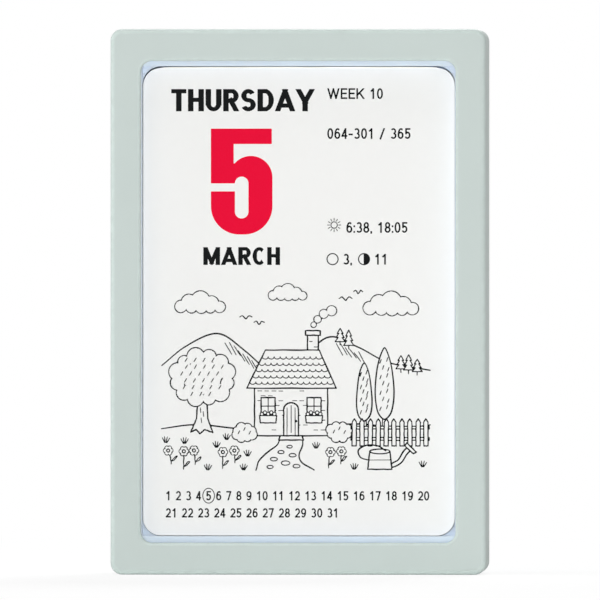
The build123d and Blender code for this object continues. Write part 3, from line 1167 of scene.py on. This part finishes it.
def draw_grass(pen):
    """Tufts of four blades."""
    tufts = (
        (5.8, 96.2), (10.6, 96.4), (18.8, 97.4), (21.4, 95.4), (26.8, 99.6), (44.4, 97.6), (54.2, 103.0),
        (71.8, 102.4), (16.6, 103.2), (25.8, 103.2),
    )
    for across, down in tufts:
        for swing in (-0.9, -0.3, 0.4, 1.0):
            tip = (across + swing, down - 1.7 + 0.5 * abs(swing))
            pen.line(np.linspace((across + 0.3 * swing, down), tip, 4), weight=0.7, shake=0.03)


# Which corners and crossings go round the ink in a cell, by the sum of its inked corners: 1 lower left,
# 2 lower right, 4 upper right and 8 upper left. Digits 0 to 3 are the corners in that order, and 4 to 7 are
# the crossings on the lower, right, upper and left side.
CELL_LOOPS = {
    1: ["047"], 2: ["415"], 3: ["0157"], 4: ["526"], 5: ["047", "526"], 6: ["4126"], 7: ["01267"],
    8: ["763"], 9: ["0463"], 10: ["415", "763"], 11: ["01563"], 12: ["7523"], 13: ["04523"],
    14: ["41237"], 15: ["0123"],
}


def crossing(one, other):
    """Share of the way between two neighbours at which the distance is zero, kept off the corners."""
    gap, least, corner_share = one - other, 1e-9, 0.02
    return np.clip(one / np.where(np.abs(gap) < least, least, gap), corner_share, 1 - corner_share)


def printed_shell(plate, front, film):
    """Ink as a closed sheet: the plate's grid is cut along the line of distance zero.

    In each cell the corners with ink and the crossings on its sides, found between corners in proportion
    to their distances, make a polygon. The polygons lie one ink film in front of the paper and again a
    little inside the paper, and a wall follows the crossings.
    """
    distance, soak = plate.distance, 0.004
    rows, columns = distance.shape
    ink = distance < 0
    case = ink[1:, :-1] * 1 + ink[1:, 1:] * 2 + ink[:-1, 1:] * 4 + ink[:-1, :-1] * 8
    across, down = np.meshgrid(plate.across, plate.down)
    level = across[:, :-1] + plate.step * crossing(distance[:, :-1], distance[:, 1:])
    plumb = down[:-1] + plate.step * crossing(distance[:-1], distance[1:])
    spots = np.concatenate([
        np.stack([across.ravel(), down.ravel()], 1),
        np.stack([level.ravel(), down[:, :-1].ravel()], 1),
        np.stack([across[:-1].ravel(), plumb.ravel()], 1),
    ])
    first_level = rows * columns
    first_plumb = first_level + rows * (columns - 1)
    fronts, pit_shaded_tone = [], []
    for key, loops in CELL_LOOPS.items():
        row, column = np.nonzero(case == key)
        corner = row * columns + column
        upper, left = first_level + row * (columns - 1) + column, first_plumb + corner
        codes = [
            corner + columns, corner + columns + 1, corner + 1, corner,
            upper + columns - 1, left + 1, upper, left,
        ]
        for loop in loops:
            digits = [int(digit) for digit in loop]
            fronts.append(np.stack([codes[digit] for digit in digits], 1))
            for a, b in zip(digits, digits[1:] + digits[:1]):
                if a > 3 and b > 3:
                    pit_shaded_tone.append(np.stack([codes[a], codes[b]], 1))
    used = np.unique(np.concatenate([polygons.ravel() for polygons in fronts]))
    lookup = np.zeros(len(spots), dtype=np.int64)
    lookup[used] = np.arange(len(used))
    fronts = [lookup[polygons] for polygons in fronts if len(polygons)]
    edge = lookup[np.concatenate(pit_shaded_tone)]
    paper, count = front(spots[used]), len(used)
    points = np.concatenate([paper + (0, -film, 0), paper + (0, soak, 0)])
    sides = np.stack([edge[:, 1], edge[:, 0], edge[:, 0] + count, edge[:, 1] + count], 1)
    return points, fronts + [polygons[:, ::-1] + count for polygons in fronts] + [sides]


# Surfaces of the pieces


def frame_shell(casing):
    """Front frame: one profile carried round the window, from the window's wall over the rim to the skirt.

    Every ring is a rounded rectangle. On a rounding of radius e the ring moves by e less e times the cosine
    of the turn while its depth moves by e less e times the sine. Beside each rounding a close second ring
    keeps the flat face flat. Also gives the share of painted edge highlight on each point.
    """
    low, high = mm_box("front_frame")
    front_y, rear_y = low[1], high[1]
    half_width, half_height = half_sizes(low, high)
    leaf_width, leaf_height = half_sizes(*mm_box("todays_leaf"))
    window_width, window_height = leaf_width + casing.side_reveal / MM, leaf_height + casing.head_reveal / MM
    outer, window = casing.corner_radius / MM, casing.window_radius / MM
    face, roll, rear = casing.face_edge / MM, casing.window_edge / MM, casing.rear_edge / MM
    skirt, rim_back = casing.skirt_thickness / MM, front_y + casing.face_thickness / MM
    near, lip, tightest = 0.06, 0.15, 0.4
    rear_edge_highlight, lip_highlight = 0.7, 0.3
    turns = np.radians(np.linspace(0, 90, 9))
    rows = []

    def from_window(out, depth, edge_highlight=0.0):
        """Ring at a distance out from the window's wall."""
        rows.append((window_width + out, window_height + out, window + out, depth, edge_highlight))

    def from_side(inset, depth, edge_highlight=0.0):
        """Ring at a distance in from the outside."""
        rows.append((half_width - inset, half_height - inset, max(outer - inset, tightest), depth, edge_highlight))

    # The last value of each ring is its share of painted highlight, most half way round each rounding.
    from_window(0.0, rim_back)
    from_window(0.0, front_y + roll + near)
    for turn in turns:
        from_window(roll * (1 - math.cos(turn)), front_y + roll * (1 - math.sin(turn)), math.sin(2 * turn))
    from_window(roll + near, front_y)
    from_side(face + near, front_y)
    for turn in turns[::-1]:
        from_side(face * (1 - math.cos(turn)), front_y + face * (1 - math.sin(turn)), math.sin(2 * turn))
    from_side(0.0, front_y + face + near)
    from_side(0.0, rear_y - rear - near)
    for turn in turns[::2]:
        edge_highlight = rear_edge_highlight * math.sin(2 * turn)
        from_side(rear * (1 - math.cos(turn)), rear_y - rear * (1 - math.sin(turn)), edge_highlight)
    from_side(rear + near, rear_y)
    from_side(skirt - lip - near, rear_y)
    for turn in turns[::-2]:
        from_side(skirt - lip * (1 - math.cos(turn)), rear_y - lip * (1 - math.sin(turn)), lip_highlight)
    from_side(skirt, rear_y - lip - near)
    from_side(skirt, rim_back + near)
    from_side(skirt, rim_back)
    middle = front_middle(low, high)
    rings = [ring(rounded_outline(*sizes), depth, middle) for *sizes, depth, _ in rows]
    edge_highlight = np.repeat([row[4] for row in rows], len(rings[0]))
    return lofted(rings, closed=True), edge_highlight


def socket_shell(across, rise, front_y, end_y):
    """Tube behind the rim that grips a post: a profile of bore, mouth and outside, turned about Y."""
    lip, soft, sunk = 0.2, 0.06, 0.05
    turn = np.linspace(0, 2 * math.pi, 36, endpoint=False)
    circle = np.stack([np.cos(turn), np.sin(turn)], 1)
    profile = [
        (SOCKET_BORE, front_y - sunk), (SOCKET_BORE, end_y - lip), (SOCKET_BORE + soft, end_y - soft),
        (SOCKET_BORE + lip, end_y), (SOCKET_OUTSIDE - lip, end_y), (SOCKET_OUTSIDE - soft, end_y - soft),
        (SOCKET_OUTSIDE, end_y - lip), (SOCKET_OUTSIDE, front_y - sunk),
    ]
    return lofted([ring(circle * radius, y, (across, rise)) for radius, y in profile], closed=True)


def merged_shell(node):
    """A CAD node's loose triangles with their equal points made one, and triangles without area left out."""
    source = frame["nodes"][node].data
    points = np.empty(len(source.vertices) * 3, dtype=np.float32)
    source.vertices.foreach_get("co", points)
    source.calc_loop_triangles()
    corners = np.empty(len(source.loop_triangles) * 3, dtype=np.int32)
    source.loop_triangles.foreach_get("vertices", corners)
    grid = np.round(points.reshape(-1, 3).astype(float) / MM, 4)
    merged, order = np.unique(grid, axis=0, return_inverse=True)
    triangles = order.ravel()[corners].reshape(-1, 3)
    flat = (triangles == np.roll(triangles, 1, axis=1)).any(axis=1)
    return merged, [triangles[~flat]]


def pack_shell(node, paper, rng):
    """Month pack: each leaf's outline twice, at its front and at its back, so that the edges step.

    A leaf keeps the common head. Its sides and foot fall short by small amounts that differ from leaf to
    leaf, within the space of the CAD pack.
    """
    low, high = mm_box(node)
    half_width, half_height = half_sizes(low, high)
    middle_x, middle_z = front_middle(low, high)
    leaves = int(round((high[1] - low[1]) / (paper.leaf_thickness / MM)))
    outline = rounded_outline(half_width, half_height, paper.corner_radius / MM)
    left, right, foot = rng.uniform(0, paper.edge_scatter / MM, (3, leaves))[:, :, None]
    across = outline[:, 0] * (1 - (left + right) / (4 * half_width)) + (left - right) / 4 + middle_x
    rise = half_height - (half_height - outline[:, 1]) * (1 - foot / (2 * half_height)) + middle_z
    depth = np.repeat(np.linspace(low[1], high[1], leaves + 1), 2)[1:-1, None]
    across, rise = np.repeat(across, 2, axis=0), np.repeat(rise, 2, axis=0)
    return lofted(np.stack([across, np.broadcast_to(depth, across.shape), rise], -1))


def soft_slab(low, high, radius, profile):
    """Slab with a shaped edge: a rounded rectangle, drawn in by the profile at each share of the depth."""
    middle, tightest = front_middle(low, high), 0.1
    half_width, half_height = half_sizes(low, high)
    rings = []
    for share, inset in profile:
        outline = rounded_outline(half_width - inset, half_height - inset, max(radius - inset, tightest))
        rings.append(ring(outline, low[1] + share * (high[1] - low[1]), middle))
    return lofted(rings)


def glue_shell():
    """Film of glue: across the head, each section has a flat foot and a top that falls away at its ends.

    Its height is the film's thickness times the square root of one less a share of the twelfth power of the
    place along X, and of the place along Y behind the middle, times a slow brush wave.
    """
    low, high = mm_box("head_glue")
    along = np.linspace(-1, 1, 121)[:, None]
    deep = np.linspace(-1, 1, 41)[None, :]
    side_fall, rear_fall, wave = 0.9, 0.6, 0.03
    dome = np.sqrt((1 - side_fall * along ** 12) * (1 - rear_fall * np.maximum(deep, 0) ** 12))
    streaks = np.sin(9 * deep + 1.4 * np.sin(7 * along))
    brush = 1 - 2 * wave + wave * streaks + wave * np.sin(23 * along + 3 * deep)
    across = np.broadcast_to((low[0] + high[0]) / 2 + along * (high[0] - low[0]) / 2, dome.shape)
    depth = np.broadcast_to((low[1] + high[1]) / 2 + deep * (high[1] - low[1]) / 2, dome.shape)
    top = np.stack([across, depth, low[2] + (high[2] - low[2]) * dome * brush], -1)
    foot = np.stack([across, depth, np.full(dome.shape, low[2])], -1)
    return lofted(np.concatenate([top, foot[:, ::-1]], axis=1))


def leaf_surface(node, paper, film, lifted):
    """Function from a place on the leaf, across and down, to its point on the paper's front.

    A lifted leaf stands off the block by the square of the way down its lower part, more at the corners,
    with a slow wave across that grows with the square of the way down.
    """
    low, high = mm_box(node)
    width, height = high[0] - low[0], high[2] - low[2]
    lift_starts, middle_share, wave_height, wave_length = 62.0, 0.68, 0.05, 5.2

    def front(spots):
        """Points on the paper's front, one ink film behind the CAD leaf's front."""
        across, down = spots[:, 0], spots[:, 1]
        depth = np.full(len(spots), low[1] + film)
        if lifted:
            foot = np.clip((down - lift_starts) / (height - lift_starts), 0, 1) ** 2
            corner = middle_share + (1 - middle_share) * (2 * across / width - 1) ** 2
            wave = wave_height * (1 - np.cos(across / wave_length)) * (down / height) ** 2
            depth = depth - foot * corner * paper.foot_lift / MM - wave
        return np.stack([low[0] + across, depth, high[2] - down], 1)

    return front


def leaf_shell(node, paper, film, lifted):
    """One leaf: rows from head to foot, each as wide as the rounded outline is there, front and back.

    Within a corner the row's place is the radius times one less the cosine of a turn, and its half width
    is short of the full one by the radius times one less the sine.
    """
    low, high = mm_box(node)
    width, height, radius = high[0] - low[0], high[2] - low[2], paper.corner_radius / MM
    corner_rows, straight_rows, columns, rear_gap = 12, 60, 41, 0.004
    turns = np.linspace(0, math.pi / 2, corner_rows)
    head, head_half = radius * (1 - np.cos(turns)), width / 2 - radius * (1 - np.sin(turns))
    straight = np.linspace(radius, height - radius, straight_rows)[1:-1]
    down = np.concatenate([head, straight, height - head[::-1]])
    half = np.concatenate([head_half, np.full(len(straight), width / 2), head_half[::-1]])
    across = width / 2 + half[:, None] * np.linspace(-1, 1, columns)
    spots = np.stack([across, np.broadcast_to(down[:, None], across.shape)], -1)
    front = leaf_surface(node, paper, film, lifted)(spots.reshape(-1, 2)).reshape(*across.shape, 3)
    back = front + (0, high[1] - low[1] - film - rear_gap, 0)
    return lofted(np.concatenate([front, back[:, ::-1]], axis=1))


def print_leaf(name, body, paper, leaf_print, weekday, day, lifted):
    """Ink of one leaf: the large figure in red, the words, the numbers and the drawing in black."""
    film, lines = leaf_print.ink_film / MM, LEAF_LINES[name]
    front = leaf_surface(name + "_leaf", paper, film, lifted)
    black = offset_ink("offset_black_on_" + name, leaf_print.black)
    red = offset_ink("offset_red_on_" + name, leaf_print.red)

    numeral = InkPlate(*NUMERAL_PLATE)
    numeral.figure(day, left=17.4, top=15.55, width=15.8)
    put(name + "_numeral", printed_shell(numeral, front, film), red, body, smooth=False)

    words = InkPlate(*WORDS_PLATE)
    set_date(words, weekday, leaf_print.month, lines["weekday_gap"])
    set_small_lines(words, lines)
    put(name + "_words", printed_shell(words, front, film), black, body, smooth=False)

    days = InkPlate(*DAYS_PLATE)
    set_month_days(days, day)
    put(name + "_month_days", printed_shell(days, front, film), black, body, smooth=False)

    view = InkPlate(*DRAWING_PLATE)
    draw_country_view(view, leaf_print.pen_width / MM, lines["seed"], lines["mirrored"])
    put(name + "_drawing", printed_shell(view, front, film), black, body, smooth=False)


def set_date(plate, weekday, month, weekday_gap):
    """Weekday from the left margin, and the month under the middle of the numeral."""
    weekday_type = Type(height=5.7, stroke=1.42, gap=weekday_gap, contrast=BOLD_CONTRAST)
    plate.words(weekday, left=7.2, base=11.1, kind=weekday_type)
    month_middle = 25.3
    month_left = month_middle - words_width(month, MONTH_TYPE) / 2
    plate.words(month, month_left, base=50.55, kind=MONTH_TYPE)


def set_small_lines(plate, lines):
    """Week, count of days, sun and moon, in a column at the right."""
    left, week_base, count_base, sun_base, moon_base = 47.3, 7.95, 18.2, 42.3, 50.45
    sun_raised, moon_raised = 2.0, 1.4
    plate.words(lines["week"], left, week_base, SMALL_TYPE)
    plate.words(lines["count"], left, count_base, SMALL_TYPE)
    draw_sun(plate, (left + 1.75, sun_base - sun_raised))
    plate.words(lines["sun"], left + 4.9, sun_base, SMALL_TYPE)
    draw_moon(plate, left + 1.35, moon_base - moon_raised, waning=False)
    end = plate.words(lines["moons"][0], left + 4.1, moon_base, SMALL_TYPE)
    draw_moon(plate, end + 3.1, moon_base - moon_raised, waning=True)
    plate.words(lines["moons"][1], end + 5.8, moon_base, SMALL_TYPE)


def draw_sun(plate, middle):
    """Sign for the sun: a ring and twelve rays."""
    disc, ray_start, ray_end, rays = 0.82, 1.15, 1.72, 12
    ring_nib, ray_nib = 0.12, 0.1
    plate.pen(oval(middle, (disc, disc), points=37), ring_nib)
    for turn in np.arange(rays) * (2 * math.pi / rays):
        way = np.array([math.cos(turn), math.sin(turn)])
        plate.pen([middle + ray_start * way, middle + ray_end * way], ray_nib)


def draw_moon(plate, across, down, waning):
    """Sign for the moon: a ring, and upright lines that shade one half where the moon wanes."""
    radius, ring_nib, edge_nib, shade_nib = 1.42, 0.14, 0.1, 0.09
    plate.pen(oval((across, down), (radius, radius)), ring_nib)
    if waning:
        for share in np.linspace(0.05, 0.95, 14):
            reach, aside = radius * math.sqrt(1 - share ** 2), across + radius * share
            plate.pen([(aside, down - reach), (aside, down + reach)], shade_nib)
        plate.pen([(across, down - radius), (across, down + radius)], edge_nib)


def set_month_days(plate, today):
    """Two rows with the numbers of the month's days, and a ring round today's."""
    margin, space, first_base, second_base = 5.8, 1.27, 111.0, 115.4
    ring_radii, ring_nib = (1.5, 1.9), 0.11
    for first, last, base in ((1, 20, first_base), (21, 31, second_base)):
        left = margin
        for day in range(first, last + 1):
            end = plate.words(str(day), left, base, DAYS_TYPE)
            if str(day) == today:
                middle = ((left + end) / 2, base - DAYS_TYPE.height / 2)
                plate.pen(oval(middle, ring_radii), ring_nib)
            left = end + space


# Stage


def white_backdrop(scene, ambient):
    """World that is white where it is seen, and lights the calendar with a little light from all round."""
    scene.world = bpy.data.worlds.new("studio")
    scene.world.use_nodes = True
    tree = scene.world.node_tree
    tree.nodes.clear()
    pure_white = (1.0, 1.0, 1.0, 1.0)
    soft = add(tree, "ShaderNodeBackground", links={"Color": pure_white, "Strength": ambient})
    white = add(tree, "ShaderNodeBackground", links={"Color": pure_white, "Strength": 1.0})
    either = add(tree, "ShaderNodeMixShader", links={0: seen_rays(tree), 1: soft, 2: white})
    add(tree, "ShaderNodeOutputWorld", links={"Surface": either})


def hang_lamp(scene, name, place, diameter, watts, target):
    """Round area lamp that faces a target."""
    lamp = bpy.data.lights.new(name, "AREA")
    lamp.shape = "DISK"
    lamp.size = diameter
    lamp.energy = watts
    holder = bpy.data.objects.new(name, lamp)
    holder.location = place
    holder.rotation_euler = (target - Vector(place)).to_track_quat("-Z", "Y").to_euler()
    scene.collection.objects.link(holder)


# Operators


class CALENDAR_OT_front_casing(Operator):
    """Make the moulded front frame with its sockets"""

    bl_idname = "calendar.front_casing"
    bl_label = "Front casing"

    def execute(self, context):
        casing = context.scene.calendar_casing
        plastic = moulded_polystyrene("moulded_polystyrene_grey_green", casing.frame_colour, glow=0.05)
        rim, edge_highlight = frame_shell(casing)
        low, high = mm_box("front_frame")
        rim_back = low[1] + casing.face_thickness / MM
        middle = (low[2] + high[2]) / 2
        sockets = [
            socket_shell(x, middle + rise, rim_back, SOCKET_END)
            for x in (-POST_ACROSS, POST_ACROSS) for rise in (-POST_RISE, POST_RISE)
        ]
        shell = joined([rim] + sockets)
        # Share of painted edge highlight on each point; the sockets get none.
        highlight_and_wear = np.concatenate([edge_highlight, np.zeros(len(shell[0]) - len(edge_highlight))])
        put(
            "front_frame_moulding", shell, plastic, "casing_front", "front_frame",
            attributes={"edge_highlight": highlight_and_wear},
        )
        return {"FINISHED"}


class CALENDAR_OT_rear_casing(Operator):
    """Make the moulded rear tray, with the edges of the CAD tray rounded"""

    bl_idname = "calendar.rear_casing"
    bl_label = "Rear casing"

    def execute(self, context):
        casing = context.scene.calendar_casing
        plastic = moulded_polystyrene("moulded_polystyrene_blue_white", casing.tray_colour, glow=0.6)
        shell = merged_shell("rear_tray")
        tray = put("rear_tray_moulding", shell, plastic, "casing_back", "rear_tray")
        rounding = tray.modifiers.new("rounded_edges", "BEVEL")
        rounding.width = casing.tray_edge
        rounding.segments = 2
        rounding.limit_method = "ANGLE"
        rounding.angle_limit = math.radians(50)
        rounding.use_clamp_overlap = True
        rounding.harden_normals = True
        return {"FINISHED"}


class CALENDAR_OT_block_backing(Operator):
    """Make the foam tape, the back card and the glued head of the block"""

    bl_idname = "calendar.block_backing"
    bl_label = "Card, tape and glue"

    def execute(self, context):
        paper = context.scene.calendar_paper
        board = pressed_grey_board("pressed_grey_board", paper.card_colour)
        low, high = mm_box("back_card")
        # Share of the depth, and how far the edge is pressed in there
        pressed = [(0.0, 0.12), (0.06, 0.02), (0.2, 0.0), (0.8, 0.0), (0.94, 0.02), (1.0, 0.12)]
        card = soft_slab(low, high, paper.corner_radius / MM, pressed)
        put("back_card_board", card, board, "refill_block", "back_card")

        foam = closed_cell_foam("closed_cell_foam_tape", paper.foam_colour)
        low, high = mm_box("mounting_pads")
        corner_radius, bulge = 0.6, 0.22
        sides = [(share, bulge * (2 * share - 1) ** 2) for share in np.linspace(0, 1, 7)]
        lower_top, upper_foot = high.copy(), low.copy()
        lower_top[2], upper_foot[2] = low[2] + PAD_WIDTH, high[2] - PAD_WIDTH
        ends = ((low, lower_top), (upper_foot, high))
        strips = joined([soft_slab(start, end, corner_radius, sides) for start, end in ends])
        pads = put("mounting_pads_foam", strips, foam, "refill_block", "mounting_pads")

        glue = dried_padding_glue("dried_padding_glue", paper.glue_colour)
        put("head_glue_film", glue_shell(), glue, "refill_block", "head_glue")
        return {"FINISHED"}


class CALENDAR_OT_leaf_packs(Operator):
    """Make the month packs, leaf by leaf at their edges"""

    bl_idname = "calendar.leaf_packs"
    bl_label = "Month packs"

    def execute(self, context):
        paper = context.scene.calendar_paper
        sheet = offset_paper("guillotined_offset_paper", paper.paper_colour, painted_leaf_shade=True)
        rng = np.random.default_rng(paper.seed)
        for node in PACKS:
            name = node.replace("_leaves", "_pack")
            put(name, pack_shell(node, paper, rng), sheet, "refill_block", node, smooth=False)
        return {"FINISHED"}


class CALENDAR_OT_next_leaf(Operator):
    """Make tomorrow's leaf and its print"""

    bl_idname = "calendar.next_leaf"
    bl_label = "Tomorrow's leaf"

    def execute(self, context):
        paper, leaf_print = context.scene.calendar_paper, context.scene.calendar_print
        sheet = offset_paper("offset_paper_next", paper.paper_colour, painted_leaf_shade=False)
        shell = leaf_shell("tomorrows_leaf", paper, leaf_print.ink_film / MM, lifted=False)
        put("tomorrows_sheet", shell, sheet, "refill_block", "tomorrows_leaf")
        weekday, day = leaf_print.next_weekday, leaf_print.next_day
        print_leaf("tomorrows", "refill_block", paper, leaf_print, weekday, day, lifted=False)
        return {"FINISHED"}


class CALENDAR_OT_top_leaf(Operator):
    """Make today's leaf, whose foot stands off the block, and its print"""

    bl_idname = "calendar.top_leaf"
    bl_label = "Today's leaf"

    def execute(self, context):
        paper, leaf_print = context.scene.calendar_paper, context.scene.calendar_print
        sheet = offset_paper("offset_paper_top", paper.paper_colour, painted_leaf_shade=False)
        shell = leaf_shell("todays_leaf", paper, leaf_print.ink_film / MM, lifted=True)
        leaf = put("todays_sheet", shell, sheet, None, "todays_leaf")
        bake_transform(leaf)
        print_leaf("todays", "top_leaf", paper, leaf_print, leaf_print.weekday, leaf_print.day, lifted=True)
        return {"FINISHED"}


class CALENDAR_OT_stage(Operator):
    """Set up the floor, the backdrop, the lamps and the camera"""

    bl_idname = "calendar.stage"
    bl_label = "Stage"

    def execute(self, context):
        scene, stage = context.scene, context.scene.calendar_stage
        low, high = np.array(CAD_BOX)
        middle = Vector((low + high) / 2)
        turn, rise = stage.camera_turn, stage.camera_rise
        level = math.cos(rise)
        away = Vector((math.sin(turn) * level, -math.cos(turn) * level, math.sin(rise)))
        aim = Vector((middle.x + stage.aim_across, low[1], middle.z + stage.aim_up))

        corners = np.array([(-1, -1, 0), (1, -1, 0), (1, 1, 0), (-1, 1, 0)]) * (stage.floor_reach / MM)
        paper = white_studio_paper("white_studio_paper", stage.floor_colour)
        floor = put("studio_floor", (corners, [np.array([[0, 1, 2, 3]])]), paper, None, smooth=False)
        white_backdrop(scene, stage.ambient)

        # Place and diameter of each lamp, in metres; the last stands in line with the lens
        hang_lamp(scene, "key_lamp", (-1.7, -2.0, 1.7), 1.2, stage.key_watts, middle)
        hang_lamp(scene, "side_lamp", (-1.5, -0.05, 0.5), 0.8, stage.side_watts, middle)
        hang_lamp(scene, "top_lamp", (-0.2, -0.35, 1.7), 0.9, stage.top_watts, middle)
        hang_lamp(scene, "back_lamp", (0.45, 1.85, 1.9), 1.2, stage.back_watts, middle)
        hang_lamp(scene, "camera_lamp", aim + away * 2.82, 0.36, stage.camera_watts, middle)

        camera = bpy.data.cameras.new("camera")
        camera.sensor_width = 36.0
        camera.lens = camera.sensor_width * stage.camera_distance / stage.picture_width
        camera.clip_end = 10.0
        holder = bpy.data.objects.new("camera", camera)
        holder.location = aim + away * stage.camera_distance
        holder.rotation_euler = (-away).to_track_quat("-Z", "Y").to_euler()
        scene.collection.objects.link(holder)
        scene.camera = holder
        scene.view_settings.view_transform = "Standard"
        return {"FINISHED"}


class CALENDAR_PT_pieces(Panel):
    """Lists the calendar's pieces and their settings"""

    bl_label = "Day calendar"
    bl_idname = "CALENDAR_PT_pieces"
    bl_space_type = "VIEW_3D"
    bl_region_type = "UI"
    bl_category = "Calendar"

    def draw(self, context):
        for group in GROUPS:
            box = self.layout.box()
            settings = getattr(context.scene, group)
            for key in settings.__annotations__:
                box.prop(settings, key)
        for operator in OPERATORS:
            self.layout.operator(operator.bl_idname)


GROUPS = {
    "calendar_casing": CalendarCasing, "calendar_paper": CalendarPaper,
    "calendar_print": CalendarPrint, "calendar_stage": CalendarStage,
}
OPERATORS = (
    CALENDAR_OT_front_casing, CALENDAR_OT_rear_casing, CALENDAR_OT_block_backing, CALENDAR_OT_leaf_packs,
    CALENDAR_OT_next_leaf, CALENDAR_OT_top_leaf, CALENDAR_OT_stage,
)


def register():
    """Registers the classes, and hangs the settings on the scene."""
    for cls in (*GROUPS.values(), *OPERATORS, CALENDAR_PT_pieces):
        bpy.utils.register_class(cls)
    for name, group in GROUPS.items():
        setattr(bpy.types.Scene, name, PointerProperty(type=group))


def unregister():
    """Takes the settings off the scene, and the classes out of Blender."""
    for name in GROUPS:
        delattr(bpy.types.Scene, name)
    for cls in reversed((*GROUPS.values(), *OPERATORS, CALENDAR_PT_pieces)):
        bpy.utils.unregister_class(cls)


def main():
    """Registers the classes and makes every piece, then the stage, in order."""
    register()
    bpy.ops.calendar.front_casing()
    bpy.ops.calendar.rear_casing()
    bpy.ops.calendar.block_backing()
    bpy.ops.calendar.leaf_packs()
    bpy.ops.calendar.next_leaf()
    bpy.ops.calendar.top_leaf()
    bpy.ops.calendar.stage()


if __name__ == "__main__":
    main()
